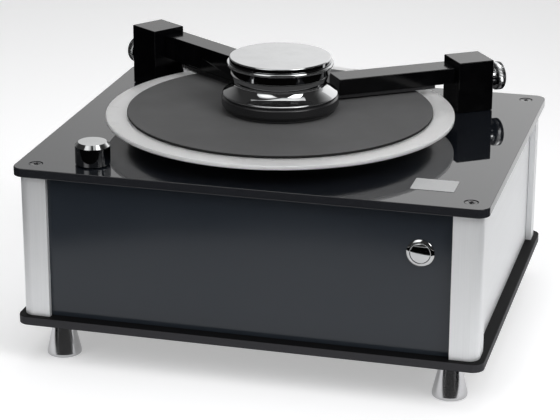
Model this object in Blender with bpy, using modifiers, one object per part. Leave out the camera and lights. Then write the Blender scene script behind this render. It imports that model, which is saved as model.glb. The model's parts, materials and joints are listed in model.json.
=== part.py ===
"""Record cleaning machine: a vacuum record washer with a brush arm and a suction arm.

Metres, +Z up, +X to the right and -Y towards the user. The origin is on the ground under the middle of
the machine. Two gloss plates hold four corner columns and four panels between them. The platter turns on
a gear motor under the upper plate, and a heavy clamp sits on its spindle. Each arm stands on a post that
swivels on a tube through the upper plate and lifts a few millimetres along it.
"""

import math

import bmesh
import bpy
from mathutils import Matrix, Vector

# Fits
SEAT_GAP = 0.0003           # left between pieces that rest on or in each other
OVERRUN = 0.002             # how far a cutter passes beyond what it cuts
WELD_DISTANCE = 0.000001

# Housing: two plates, four corner columns and four panels
PLATE_WIDTH = 0.396
PLATE_DEPTH = 0.322
PLATE_THICKNESS = 0.0074
PLATE_CORNER_RADIUS = 0.010
PLATE_EDGE_BREAK = 0.0006
HOUSING_HEIGHT = 0.1236
FOOT_HEIGHT = 0.035
COLUMN_SIDE = 0.024
COLUMN_MARGIN = 0.0045      # from the plate's edge in to the column's face
COLUMN_RADIUS = 0.010       # of the outer corner
COLUMN_BORE_RADIUS = 0.0022
COLUMN_HOLLOW_SIDE = 0.0065
COLUMN_HOLLOW_INSET = 0.0035
PANEL_THICKNESS = 0.003
PANEL_SETBACK = 0.0053      # from the column's outer face in to the panel's
GROOVE_DEPTH = 0.006

# Levels
BASE_BOTTOM = FOOT_HEIGHT
BASE_TOP = BASE_BOTTOM + PLATE_THICKNESS
TOP_BOTTOM = BASE_TOP + HOUSING_HEIGHT
DECK = TOP_BOTTOM + PLATE_THICKNESS

# Places that follow from the housing
COLUMN_X = PLATE_WIDTH / 2 - COLUMN_MARGIN - COLUMN_SIDE / 2
COLUMN_Y = PLATE_DEPTH / 2 - COLUMN_MARGIN - COLUMN_SIDE / 2
SIDE_FACE_X = PLATE_WIDTH / 2 - COLUMN_MARGIN - PANEL_SETBACK
FRONT_FACE_Y = -(PLATE_DEPTH / 2 - COLUMN_MARGIN - PANEL_SETBACK)

# Screws that hold the plates to the columns
SCREW_HEAD_RADIUS = 0.0056
SCREW_HEAD_DEPTH = 0.0034
SCREW_SINK = 0.0004         # from the plate's face down to the head's
SCREW_SHANK_RADIUS = 0.0019
SCREW_LENGTH = 0.026
SCREW_SOCKET_RADIUS = 0.0021
SCREW_SOCKET_DEPTH = 0.0022

# Feet
FOOT_INSET_X = 0.031        # from the plate's edges in to the foot's middle
FOOT_INSET_Y = 0.030
FOOT_BOTTOM_RADIUS = 0.0148
FOOT_TOP_RADIUS = 0.0083
FOOT_RIM_HEIGHT = 0.0022
FOOT_COLLAR_HEIGHT = 0.0030
FOOT_STUD_RADIUS = 0.0030
PAD_RADIUS = 0.0118
PAD_THICKNESS = 0.0022
PAD_PROUD = 0.0010          # how far the pad stands below the metal

# Platter, turning about an upright axis
PLATTER_X = -0.0095
PLATTER_Y = -0.0070
PLATTER_SIDE_MARGIN = 0.048     # from a centred disc's rim out to the plate's side
PLATTER_RADIUS = PLATE_WIDTH / 2 - PLATTER_SIDE_MARGIN
PLATTER_THICKNESS = 0.0035
PLATTER_LEVEL = 0.0186      # top of the disc above the deck
PLATTER_EDGE_BREAK = 0.0005
MAT_RIM = 0.015             # of the disc, left bare round the mat
MAT_RADIUS = PLATTER_RADIUS - MAT_RIM
MAT_THICKNESS = 0.0024
MAT_EDGE_BREAK = 0.0004
HUB_FLANGE_RADIUS = 0.036
HUB_FLANGE_THICKNESS = 0.0045
HUB_BOSS_RADIUS = 0.014
HUB_PILOT_RADIUS = 0.010
HUB_SHAFT_RADIUS = 0.006
BEARING_FLANGE_RADIUS = 0.022
BEARING_FLANGE_THICKNESS = 0.003
BEARING_SLEEVE_RADIUS = 0.012
BEARING_SLEEVE_LENGTH = 0.012   # below the upper plate
SPINDLE_RADIUS = 0.0036
SPINDLE_RISE = 0.015        # above the mat
SPINDLE_TIP = 0.0014
SPINDLE_SEAT_DEPTH = 0.010

# Gear motor, hung under the upper plate
GEARBOX_RADIUS = 0.031
GEARBOX_HEIGHT = 0.021
MOTOR_CAN_RADIUS = 0.0195
MOTOR_CAN_HEIGHT = 0.032
MOTOR_LEG_RADIUS = 0.004
MOTOR_LEG_LENGTH = 0.018
MOTOR_LEG_COUNT = 3
MOTOR_LEG_INSET = 0.0012    # from the gearbox's rim in to the leg's side
MOTOR_COUPLING_DEPTH = 0.014
TERMINAL_WIDTH = 0.012
TERMINAL_DEPTH = 0.007
TERMINAL_HEIGHT = 0.006

# Clamp, sitting on the mat round the spindle
SEAL_OUTER_RADIUS = 0.0475
SEAL_INNER_RADIUS = 0.0440
SEAL_HEIGHT = 0.0026
SEAL_GROOVE_DEPTH = 0.0008
CLAMP_RIM_RADIUS = 0.0505
CLAMP_BELL_RADIUS = 0.0492
CLAMP_NECK_RADIUS = 0.0396
CLAMP_DRUM_RADIUS = 0.0428
CLAMP_BEAD_RADIUS = 0.0461
CLAMP_CAP_RADIUS = 0.0438
CLAMP_TOP_LEVEL = 0.0679    # levels above the deck
CLAMP_CAP_THICKNESS = 0.0042
CLAMP_BEAD_THICKNESS = 0.0026
CLAMP_DRUM_LEVEL = 0.0534
CLAMP_NECK_LEVEL = 0.0462
CLAMP_BELL_LEVEL = 0.0366
CLAMP_GROOVE_RADIUS = 0.0486
CLAMP_GROOVE_HEIGHT = 0.0012
CLAMP_FOOT_CHAMFER = 0.0030
CLAMP_BORE_RADIUS = 0.0041
CLAMP_BORE_CLEARANCE = 0.003
CLAMP_STUB_RADIUS = 0.010
CLAMP_STUB_LENGTH = 0.005
CLAMP_BEAD_ARC_DEG = (45, -90)

# Posts and arms. Each post's own frame has +X along its arm and +Z up from the deck.
POST_SIDE = 0.0334
POST_EDGE_BREAK = 0.0005
POST_TURN_DEG = 35.0        # of both arms from the machine's width
TUBE_RADIUS = 0.0090
TUBE_BORE_RADIUS = 0.0070
TUBE_RISE = 0.024           # above the deck, inside the post
TUBE_DROP = 0.032           # below the upper plate
POST_BORE_RISE = 0.038
BUSH_RADIUS = 0.0135
BUSH_FLANGE_RADIUS = 0.0185
BUSH_FLANGE_THICKNESS = 0.003
BUSH_DROP = 0.010           # sleeve below its flange
COLLAR_RADIUS = 0.0125
COLLAR_HEIGHT = 0.005
TONGUE_WIDTH = 0.012
TONGUE_INSET = 0.0020       # the tongue's top and bottom from the bar's
TONGUE_LENGTH = 0.0068
ARM_EDGE_BREAK = 0.0004

SUCTION_INSET_X = 0.064     # from the plate's edges in to the post's axis
SUCTION_INSET_Y = 0.0526
SUCTION_TIP_GAP = 0.0052    # along the arm, from its tip to the clamp's rim
SUCTION_POST_HEIGHT = 0.0462
SUCTION_BAR_WIDTH = 0.0248
SUCTION_BAR_TOP = 0.0404
SUCTION_BAR_BOTTOM = 0.0264
SUCTION_BAR_SHIFT = -0.0021     # sideways from the post's axis
SLIT_WIDTH = 0.0030
SLIT_START = 0.0035         # from the lips' inner end
SLIT_END = 0.006            # from the arm's tip
CHANNEL_WIDTH = 0.0080
CHANNEL_HEIGHT = 0.0070
CHANNEL_END = 0.003
LIP_WIDTH = 0.0228
LIP_POST_GAP = 0.0198       # from the post's face to the lips
LIP_FELT_WIDTH = 0.0120
LIP_FELT_HEIGHT = 0.0016

BRUSH_INSET_X = 0.0415
BRUSH_INSET_Y = 0.0530
BRUSH_TIP_GAP = 0.0079
BRUSH_POST_HEIGHT = 0.0552
BRUSH_BAR_WIDTH = 0.0212
BRUSH_BAR_TOP = 0.0502
BRUSH_BAR_BOTTOM = 0.0290
BRUSH_BAR_SHIFT = 0.0058
BRUSH_POST_GAP = 0.0183     # from the post's face to the brush
BRUSH_WIDTH = 0.0150
BRUSH_BACK_HEIGHT = 0.0022
BRUSH_END = 0.003           # from the arm's tip
BRISTLE_RADIUS = 0.00060
BRISTLE_PITCH = 0.00174
BRISTLE_END_MARGIN = 0.0022     # from the backing's ends in to the outer bristles
BRISTLE_SIDES = 3
BRISTLE_ROWS = 6
BRISTLE_MARGIN = 0.0012     # from the backing's long edges in to the outer rows
BRISTLE_CLEARANCE = 0.0005  # over the mat
BRUSH_SCREW_ALONG = 0.0695
BRUSH_SCREW_RADIUS = 0.0012
BRUSH_SCREW_DEPTH = 0.0030

# Thumb knobs on the posts' outer faces
THUMB_LEVEL = 0.0265
THUMB_HUB_RADIUS = 0.0080
THUMB_HUB_LENGTH = 0.0078
THUMB_DISC_RADIUS = 0.0126
THUMB_DISC_THICKNESS = 0.0072
THUMB_CHAMFER = 0.0008
THUMB_FLUTES = 16
THUMB_FLUTE_DEPTH = 0.0004
THUMB_SHANK_RADIUS = 0.0024
THUMB_SHANK_LENGTH = 0.0066

# Selector knob at the front left
SELECTOR_INSET_X = 0.0622
SELECTOR_INSET_Y = 0.0280
SELECTOR_RADIUS = 0.0146
SELECTOR_TOP_RADIUS = 0.0119
SELECTOR_HEIGHT = 0.0195
SELECTOR_TOP_CHAMFER = 0.0032
SELECTOR_FOOT_CHAMFER = 0.0010
SELECTOR_BORE_DEPTH = 0.0120
SELECTOR_SHAFT_RADIUS = 0.0030
SELECTOR_BUSH_RADIUS = 0.0046
SELECTOR_BODY_SIDE = 0.022
SELECTOR_BODY_HEIGHT = 0.019
SELECTOR_LUG_WIDTH = 0.0024
SELECTOR_LUG_HEIGHT = 0.005
SELECTOR_LUG_COUNT = 4
SELECTOR_LUG_PITCH = 0.005

# Power button on the front panel
POWER_INSET_X = 0.0546
POWER_DROP = 0.0440         # from the deck down to the button's middle
POWER_BEZEL_RADIUS = 0.0114
POWER_BEZEL_PROUD = 0.0018
POWER_BEZEL_CHAMFER = 0.0006
POWER_BARREL_RADIUS = 0.0094
POWER_BARREL_LENGTH = 0.011
POWER_CAP_RADIUS = 0.0079
POWER_CAP_LENGTH = 0.0070
POWER_CAP_PROUD = 0.0026
POWER_CAP_DISH_RADIUS = 0.0056
POWER_CAP_DISH_DEPTH = 0.0005
POWER_TRAVEL = 0.0016
POWER_BODY_RADIUS = 0.0114
POWER_BODY_LENGTH = 0.016
POWER_NUT_RADIUS = 0.0125
POWER_NUT_THICKNESS = 0.0030

# Vacuum motor on the base plate
VACUUM_WIDTH_SHARE = 13 / 66     # of the plate's width, from the middle to the motor's axis
VACUUM_Y = -0.004
VACUUM_FLANGE_RADIUS = 0.0540
VACUUM_FLANGE_THICKNESS = 0.004
VACUUM_CAN_RADIUS = 0.044
VACUUM_HEADROOM = 0.0756    # from the housing's height down to the can's
VACUUM_FAN_RADIUS = 0.0500
VACUUM_FAN_HEIGHT = 0.030
VACUUM_WAIST = 0.0012
VACUUM_NECK_RADIUS = 0.0088
VACUUM_NECK_HEIGHT = 0.009
VACUUM_DUCT_SIDE = 0.026
VACUUM_DUCT_INSET = 0.0035  # from the fan housing's edge in to the duct's side
VACUUM_DUCT_WALL = 0.0022
VACUUM_DUCT_POCKET = 0.040

# Waste tank behind it
TANK_MOTOR_INSET = 0.0148   # from the vacuum motor's axis to the tank's left end
TANK_DEPTH = 0.056
TANK_HEADROOM = 0.0496      # over the tank, for its spigots, the hoses and the suction tube
TANK_WALL = 0.003
TANK_CORNER_RADIUS = 0.008
TANK_RIGHT_GAP = 0.018      # from the right panel, clear of the corner column
SPIGOT_RADIUS = 0.0088
SPIGOT_BORE_RADIUS = 0.0062
SPIGOT_HEIGHT = 0.010
TANK_OUTLET_INSET = 0.018   # from the tank's left end
DRAIN_INSET = 0.0172        # from the tank's right end
DRAIN_RADIUS = 0.0060
DRAIN_BORE_RADIUS = 0.0040
DRAIN_LEVEL = 0.012         # above the tank's bottom
DRAIN_PROUD = 0.0030
DRAIN_CAP_RADIUS = 0.0088
DRAIN_CAP_LENGTH = 0.0056
DRAIN_CAP_RIBS = 8
DRAIN_CAP_RIB_DEPTH = 0.0005

# Hoses
HOSE_RADIUS = 0.0114
HOSE_BORE_RADIUS = 0.0093
HOSE_OVERLAP = 0.008
HOSE_BEND_RADIUS = 0.019
HOSE_BEND_STEPS = 3
HOSE_BEVEL_RESOLUTION = 3

# Power supply on the base plate
SUPPLY_LEFT_GAP = 0.0102    # from the left panel to the supply's ear
SUPPLY_Y = -0.070
SUPPLY_WIDTH = 0.118
SUPPLY_DEPTH = 0.078
SUPPLY_HEIGHT = 0.036
SUPPLY_EAR_LENGTH = 0.008
SUPPLY_EAR_THICKNESS = 0.002
SUPPLY_SLOTS = 7
SUPPLY_SLOT_WIDTH = 0.003
SUPPLY_SLOT_LENGTH = 0.046
SUPPLY_SLOT_PITCH = 0.012
SUPPLY_SLOT_DEPTH = 0.0015
SUPPLY_EDGE_BREAK = 0.001

# Mains inlet in the rear panel
INLET_INSET_X = 0.086
INLET_RISE = 0.034          # above the base plate
INLET_FLANGE_WIDTH = 0.050
INLET_FLANGE_HEIGHT = 0.0300
INLET_FLANGE_THICKNESS = 0.0028
INLET_BODY_WIDTH = 0.0310
INLET_BODY_HEIGHT = 0.0240
INLET_BODY_DEPTH = 0.024
INLET_CORNER_RADIUS = 0.003
INLET_SOCKET_WIDTH = 0.0240
INLET_SOCKET_HEIGHT = 0.0165
INLET_SOCKET_DEPTH = 0.0165
INLET_PIN_LENGTH = 0.0095
INLET_PIN_WIDTH = 0.0020
INLET_PIN_HEIGHT = 0.0040
INLET_PIN_PITCH = 0.0070
INLET_TAB_LENGTH = 0.007
INLET_PIN_SHARES = ((-1, 0), (0, 0.4), (1, 0))      # of the pins' pitch and height

# Louvres in the rear panel, at the vacuum motor's duct
LOUVRE_COUNT = 5
LOUVRE_HEIGHT = 0.0026
LOUVRE_PITCH = 0.0046
LOUVRE_WIDTH = 0.0200

# Facets
CLAMP_FLARE_STEPS = 4
CLAMP_BEAD_STEPS = 3
ROUND_STEPS = 16
FINE_STEPS = 28
DISC_STEPS = 48
CONTROL_STEPS = 24
SMALL_STEPS = 12
PLATE_CORNER_STEPS = 4
COLUMN_CORNER_STEPS = 6
SMOOTH_ANGLE_DEG = 35
RIM_NORMAL_SHARE = 0.9      # how nearly a face must point up to count as an end face

# Places of the parts that stand at the plate's edges
FOOT_X = PLATE_WIDTH / 2 - FOOT_INSET_X
FOOT_Y = PLATE_DEPTH / 2 - FOOT_INSET_Y
SUCTION_X = PLATE_WIDTH / 2 - SUCTION_INSET_X
SUCTION_Y = PLATE_DEPTH / 2 - SUCTION_INSET_Y
BRUSH_X = BRUSH_INSET_X - PLATE_WIDTH / 2
BRUSH_Y = PLATE_DEPTH / 2 - BRUSH_INSET_Y
SELECTOR_X = SELECTOR_INSET_X - PLATE_WIDTH / 2
SELECTOR_Y = SELECTOR_INSET_Y - PLATE_DEPTH / 2
POWER_X = PLATE_WIDTH / 2 - POWER_INSET_X
POWER_LEVEL = DECK - POWER_DROP
INLET_X = INLET_INSET_X - PLATE_WIDTH / 2
INLET_LEVEL = BASE_TOP + INLET_RISE

# The units on the base plate follow the room between the panels and the plates
INNER_X = SIDE_FACE_X - PANEL_THICKNESS
VACUUM_X = PLATE_WIDTH * VACUUM_WIDTH_SHARE
VACUUM_CAN_HEIGHT = HOUSING_HEIGHT - VACUUM_HEADROOM
TANK_RIGHT = INNER_X - TANK_RIGHT_GAP
TANK_LEFT = VACUUM_X - TANK_MOTOR_INSET
TANK_LENGTH = TANK_RIGHT - TANK_LEFT
TANK_HEIGHT = HOUSING_HEIGHT - TANK_HEADROOM
SUPPLY_X = SUPPLY_LEFT_GAP + SUPPLY_EAR_LENGTH + SUPPLY_WIDTH / 2 - INNER_X

PARTS = None
CUTTERS = None


# Scene and materials

def new_collection(name):
    """Makes a collection in the scene."""
    made = bpy.data.collections.new(name)
    bpy.context.scene.collection.children.link(made)
    return made


def finish(name, colour, metallic, roughness):
    """Makes a Principled material, or returns the one of that name."""
    made = bpy.data.materials.get(name)
    if made:
        return made
    made = bpy.data.materials.new(name)
    made.use_nodes = True
    made.diffuse_color = (*colour, 1)
    shader = made.node_tree.nodes["Principled BSDF"]
    shader.inputs["Base Color"].default_value = (*colour, 1)
    shader.inputs["Metallic"].default_value = metallic
    shader.inputs["Roughness"].default_value = roughness
    return made


def gloss_black():
    return finish("gloss_black_acrylic", (0.012, 0.012, 0.014), 0, 0.08)


def satin_black():
    return finish("satin_black_plastic", (0.020, 0.020, 0.022), 0, 0.45)


def opal():
    return finish("opal_acrylic", (0.86, 0.87, 0.87), 0, 0.25)


def chrome():
    return finish("polished_chrome", (0.80, 0.80, 0.80), 1, 0.06)


def brushed():
    return finish("brushed_aluminium", (0.72, 0.72, 0.73), 1, 0.32)


def rubber():
    return finish("black_rubber", (0.030, 0.030, 0.030), 0, 0.75)


def steel():
    return finish("zinc_steel", (0.55, 0.55, 0.55), 1, 0.38)


def dark_steel():
    return finish("black_steel", (0.035, 0.035, 0.038), 0.4, 0.5)


def grey_plastic():
    return finish("grey_plastic", (0.32, 0.33, 0.34), 0, 0.5)


def felt():
    return finish("black_felt", (0.020, 0.020, 0.022), 0, 0.95)


# Making and placing objects

def place(obj, parent, location=(0, 0, 0), rotation=(0, 0, 0)):
    """Puts an object in its parent's frame."""
    obj.parent = parent
    obj.location = location
    obj.rotation_euler = rotation
    return obj


def axis_empty(name, parent, location, rotation=(0, 0, 0)):
    """An empty on a joint's axis, or at a sub-assembly's reference point."""
    made = bpy.data.objects.new(name, None)
    PARTS.objects.link(made)
    return place(made, parent, location, rotation)


def solid(name, bm, material, parent, location=(0, 0, 0), rotation=(0, 0, 0)):
    """Turns a bmesh into an object of the machine."""
    bmesh.ops.recalc_face_normals(bm, faces=bm.faces)
    mesh = bpy.data.meshes.new(name)
    bm.to_mesh(mesh)
    bm.free()
    made = bpy.data.objects.new(name, mesh)
    if material:
        mesh.materials.append(material)
        PARTS.objects.link(made)
    else:
        CUTTERS.objects.link(made)
        made.hide_render = True
        made.display_type = "WIRE"
    return place(made, parent, location, rotation)


def smooth(obj):
    """Shades a piece smooth, with its sharper edges kept."""
    obj.data.shade_smooth()
    obj.data.set_sharp_from_angle(angle=math.radians(SMOOTH_ANGLE_DEG))
    return obj


def block_mesh(size, corner_radius=0, edge_break=0):
    """A box about its middle, with round upright edges and broken top and bottom edges."""
    bm = bmesh.new()
    bmesh.ops.create_cube(bm, size=1)
    bmesh.ops.scale(bm, vec=Vector(size), verts=bm.verts)
    if corner_radius:
        upright = [e for e in bm.edges if is_upright(e)]
        bmesh.ops.bevel(bm, geom=upright, offset=corner_radius, segments=PLATE_CORNER_STEPS, affect="EDGES",
                        profile=0.5)
    if edge_break:
        if corner_radius:
            sharp = [e for e in bm.edges if is_rim(e)]
        else:
            sharp = list(bm.edges)
        bmesh.ops.bevel(bm, geom=sharp, offset=edge_break, segments=1, affect="EDGES", profile=0.5)
    return bm


def is_upright(edge):
    a, b = (v.co for v in edge.verts)
    return abs(a.z - b.z) > abs(a.x - b.x) + abs(a.y - b.y)


def is_rim(edge):
    """Whether an edge lies between an end face and the side wall."""
    normals = [f.normal for f in edge.link_faces]
    steep = [abs(n.z) for n in normals]
    return len(steep) == 2 and max(steep) > RIM_NORMAL_SHARE > min(steep)


def block(name, size, centre, material, parent, **shape):
    return solid(name, block_mesh(size, **shape), material, parent, centre)


def bar_cutter(name, size, centre, parent):
    return solid(name, block_mesh(size), None, parent, centre)


def rod_mesh(radius, length, steps=SMALL_STEPS):
    bm = bmesh.new()
    bmesh.ops.create_cone(bm, cap_ends=True, segments=steps, radius1=radius, radius2=radius, depth=length)
    return bm


def rod_cutter(name, radius, bottom, top, place_at, parent, steps=SMALL_STEPS):
    """An upright round cutter between two levels of its parent's frame."""
    centre = (place_at[0], place_at[1], (bottom + top) / 2)
    return solid(name, rod_mesh(radius, top - bottom, steps), None, parent, centre)


def turned(name, profile, material, parent, location=(0, 0, 0), rotation=(0, 0, 0), steps=ROUND_STEPS,
           closed=False):
    """Turns a profile of (radius, height) points, listed down its outer side, about its own Z axis."""
    mesh = bpy.data.meshes.new(name)
    count = len(profile)
    edges = [(i, i + 1) for i in range(count - 1)]
    if closed:
        edges.append((count - 1, 0))
    mesh.from_pydata([(radius, 0, height) for radius, height in profile], edges, [])
    made = bpy.data.objects.new(name, mesh)
    if material:
        mesh.materials.append(material)
        PARTS.objects.link(made)
    else:
        CUTTERS.objects.link(made)
        made.hide_render = True
        made.display_type = "WIRE"
    screw = made.modifiers.new("Turn", "SCREW")
    screw.steps = steps
    screw.render_steps = steps
    screw.use_merge_vertices = True
    screw.merge_threshold = WELD_DISTANCE
    screw.use_smooth_shade = False
    return place(made, parent, location, rotation)


def arc(centre, radius, start_deg, end_deg, count):
    """Points along an arc in a profile's plane."""
    made = []
    for i in range(count + 1):
        angle = math.radians(start_deg + (end_deg - start_deg) * i / count)
        made.append((centre[0] + radius * math.cos(angle), centre[1] + radius * math.sin(angle)))
    return made


def cut(obj, *cutters):
    """Takes each cutter out of an object."""
    for cutter in cutters:
        step = obj.modifiers.new("Cut " + cutter.name, "BOOLEAN")
        step.operation = "DIFFERENCE"
        step.solver = "EXACT"
        step.object = cutter
    return obj


def join(obj, *others):
    """Fuses guide shapes of the cutters' collection into an object."""
    for other in others:
        step = obj.modifiers.new("Join " + other.name, "BOOLEAN")
        step.operation = "UNION"
        step.solver = "EXACT"
        step.object = other
    return obj


def fluted_mesh(outline, count, pattern, full_radius, depth):
    """A round piece whose rings of the full radius are pressed in where the repeated pattern says so."""
    bm = bmesh.new()
    rings = []
    steps = count * len(pattern)
    for radius, height in outline:
        ring = []
        for i in range(steps):
            pressed = radius == full_radius and pattern[i % len(pattern)]
            reach = radius - depth if pressed else radius
            angle = 2 * math.pi * i / steps
            ring.append(bm.verts.new((reach * math.cos(angle), reach * math.sin(angle), height)))
        rings.append(ring)
    for upper, lower in zip(rings, rings[1:]):
        for i in range(steps):
            j = (i + 1) % steps
            bm.faces.new((upper[i], lower[i], lower[j], upper[j]))
    bm.faces.new(rings[0])
    bm.faces.new(tuple(reversed(rings[-1])))
    return bm


def corners():
    """The four corners of the machine, as names and signs of X and Y."""
    return (("front_left", -1, -1), ("front_right", 1, -1), ("rear_left", -1, 1), ("rear_right", 1, 1))


# Housing

def screw_places():
    return [(name, sx * COLUMN_X, sy * COLUMN_Y) for name, sx, sy in corners()]


def countersink(name, x, y, face, up, parent):
    """A cutter for a screw's head and shank in a plate, from the face where the head is."""
    head = SCREW_HEAD_RADIUS + SEAT_GAP
    shank = SCREW_SHANK_RADIUS + SEAT_GAP
    sink = SCREW_SINK + SCREW_HEAD_DEPTH
    through = PLATE_THICKNESS + OVERRUN
    profile = [(0, OVERRUN), (head, OVERRUN), (head, -SCREW_SINK), (shank, -sink), (shank, -through), (0, -through)]
    return turned(name, profile, None, parent, (x, y, face), (0 if up else math.pi, 0, 0), SMALL_STEPS)


def make_top_plate(machine):
    """The upper gloss plate, with holes for the bearing, the bushes, the selector and the screws."""
    middle = TOP_BOTTOM + PLATE_THICKNESS / 2
    plate = block("top_plate", (PLATE_WIDTH, PLATE_DEPTH, PLATE_THICKNESS), (0, 0, middle), gloss_black(), machine,
                  corner_radius=PLATE_CORNER_RADIUS, edge_break=PLATE_EDGE_BREAK)
    low = TOP_BOTTOM - OVERRUN
    high = DECK + OVERRUN
    holes = [
        ("bearing", PLATTER_X, PLATTER_Y, BEARING_SLEEVE_RADIUS),
        ("suction", SUCTION_X, SUCTION_Y, BUSH_RADIUS),
        ("brush", BRUSH_X, BRUSH_Y, BUSH_RADIUS),
        ("selector", SELECTOR_X, SELECTOR_Y, SELECTOR_BUSH_RADIUS),
    ]
    for name, x, y, radius in holes:
        cut(plate, rod_cutter("hole_" + name, radius + SEAT_GAP, low, high, (x, y), machine, ROUND_STEPS))
    for name, x, y in screw_places():
        cut(plate, countersink("sink_top_" + name, x, y, DECK, True, machine))
    return plate


def make_base_plate(machine):
    """The lower gloss plate, with holes for the feet's studs and the screws from below."""
    middle = BASE_BOTTOM + PLATE_THICKNESS / 2
    plate = block("base_plate", (PLATE_WIDTH, PLATE_DEPTH, PLATE_THICKNESS), (0, 0, middle), gloss_black(), machine,
                  corner_radius=PLATE_CORNER_RADIUS, edge_break=PLATE_EDGE_BREAK)
    for name, sx, sy in corners():
        cut(plate, rod_cutter("hole_foot_" + name, FOOT_STUD_RADIUS + SEAT_GAP, BASE_BOTTOM - OVERRUN,
                              BASE_TOP + OVERRUN, (sx * FOOT_X, sy * FOOT_Y), machine))
    for name, x, y in screw_places():
        cut(plate, countersink("sink_base_" + name, x, y, BASE_BOTTOM, False, machine))
    return plate


def make_column(name, sx, sy, machine):
    """An extruded corner column: round outside, grooved for two panels, with a screw channel and a hollow."""
    height = HOUSING_HEIGHT - 2 * SEAT_GAP
    bm = block_mesh((COLUMN_SIDE, COLUMN_SIDE, height))
    outer = [e for e in bm.edges if is_upright(e) and all(v.co.x * sx > 0 and v.co.y * sy > 0 for v in e.verts)]
    bmesh.ops.bevel(bm, geom=outer, offset=COLUMN_RADIUS, segments=COLUMN_CORNER_STEPS, affect="EDGES", profile=0.5)
    middle = BASE_TOP + HOUSING_HEIGHT / 2
    column = solid("column_" + name, bm, brushed(), machine, (sx * COLUMN_X, sy * COLUMN_Y, middle))
    reach = height + 2 * OVERRUN
    groove = PANEL_THICKNESS + 2 * SEAT_GAP
    slot_depth = GROOVE_DEPTH + OVERRUN
    panel_middle = COLUMN_SIDE / 2 - PANEL_SETBACK - PANEL_THICKNESS / 2
    slot_middle = COLUMN_SIDE / 2 - GROOVE_DEPTH + slot_depth / 2
    side_slot = (sx * (COLUMN_X + panel_middle), sy * (COLUMN_Y - slot_middle), middle)
    end_slot = (sx * (COLUMN_X - slot_middle), sy * (COLUMN_Y + panel_middle), middle)
    cut(column, bar_cutter("slot_side_" + name, (groove, slot_depth, reach), side_slot, machine))
    cut(column, bar_cutter("slot_end_" + name, (slot_depth, groove, reach), end_slot, machine))
    cut(column, rod_cutter("channel_" + name, COLUMN_BORE_RADIUS, BASE_TOP - OVERRUN, TOP_BOTTOM + OVERRUN,
                           (sx * COLUMN_X, sy * COLUMN_Y), machine))
    inset = COLUMN_SIDE / 2 - COLUMN_HOLLOW_INSET
    hollow = inset - COLUMN_HOLLOW_SIDE / 2
    hollow_place = (sx * (COLUMN_X - hollow), sy * (COLUMN_Y - hollow), middle)
    cut(column, bar_cutter("hollow_" + name, (COLUMN_HOLLOW_SIDE, COLUMN_HOLLOW_SIDE, reach), hollow_place, machine))
    return column


def panel_span(column_centre):
    """The length of a panel whose ends sit in the columns' grooves."""
    return 2 * (column_centre - COLUMN_SIDE / 2 + GROOVE_DEPTH - SEAT_GAP)


def make_panels(machine):
    """The four panels between the columns."""
    height = HOUSING_HEIGHT - 2 * SEAT_GAP
    middle = BASE_TOP + HOUSING_HEIGHT / 2
    across = panel_span(COLUMN_X)
    along = panel_span(COLUMN_Y)
    front_y = FRONT_FACE_Y + PANEL_THICKNESS / 2
    front = block("front_panel", (across, PANEL_THICKNESS, height), (0, front_y, middle), gloss_black(), machine)
    hole = POWER_BARREL_RADIUS + SEAT_GAP
    cut(front, solid("hole_power", rod_mesh(hole, PANEL_THICKNESS + 2 * OVERRUN, ROUND_STEPS), None, machine,
                     (POWER_X, front_y, POWER_LEVEL), (math.pi / 2, 0, 0)))
    rear = block("rear_panel", (across, PANEL_THICKNESS, height), (0, -front_y, middle), dark_steel(), machine)
    through = PANEL_THICKNESS + 2 * OVERRUN
    opening = (INLET_BODY_WIDTH + 2 * SEAT_GAP, through, INLET_BODY_HEIGHT + 2 * SEAT_GAP)
    cut(rear, bar_cutter("window_inlet", opening, (INLET_X, -front_y, INLET_LEVEL), machine))
    cut(rear, solid("hole_drain", rod_mesh(DRAIN_RADIUS + SEAT_GAP, through, ROUND_STEPS), None, machine,
                    (drain_x(), -front_y, drain_level()), (math.pi / 2, 0, 0)))
    for i in range(LOUVRE_COUNT):
        level = duct_level() + (i - (LOUVRE_COUNT - 1) / 2) * LOUVRE_PITCH
        cut(rear, bar_cutter(f"louvre_{i}", (LOUVRE_WIDTH, through, LOUVRE_HEIGHT), (duct_x(), -front_y, level),
                             machine))
    for name, sign in (("left", -1), ("right", 1)):
        side_x = sign * (SIDE_FACE_X - PANEL_THICKNESS / 2)
        block("side_panel_" + name, (PANEL_THICKNESS, along, height), (side_x, 0, middle), brushed(), machine)


def make_screw(name, x, y, face, up, machine):
    """A countersunk screw with a hexagon socket."""
    top = -SCREW_SINK
    neck = top - SCREW_HEAD_DEPTH
    profile = [
        (0, top - SCREW_SOCKET_DEPTH),
        (SCREW_SOCKET_RADIUS, top - SCREW_SOCKET_DEPTH),
        (SCREW_SOCKET_RADIUS, top),
        (SCREW_HEAD_RADIUS, top),
        (SCREW_SHANK_RADIUS, neck),
        (SCREW_SHANK_RADIUS, -SCREW_LENGTH),
        (0, -SCREW_LENGTH),
    ]
    tilt = 0 if up else math.pi
    return turned(name, profile, dark_steel(), machine, (x, y, face), (tilt, 0, 0), SMALL_STEPS)


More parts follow.
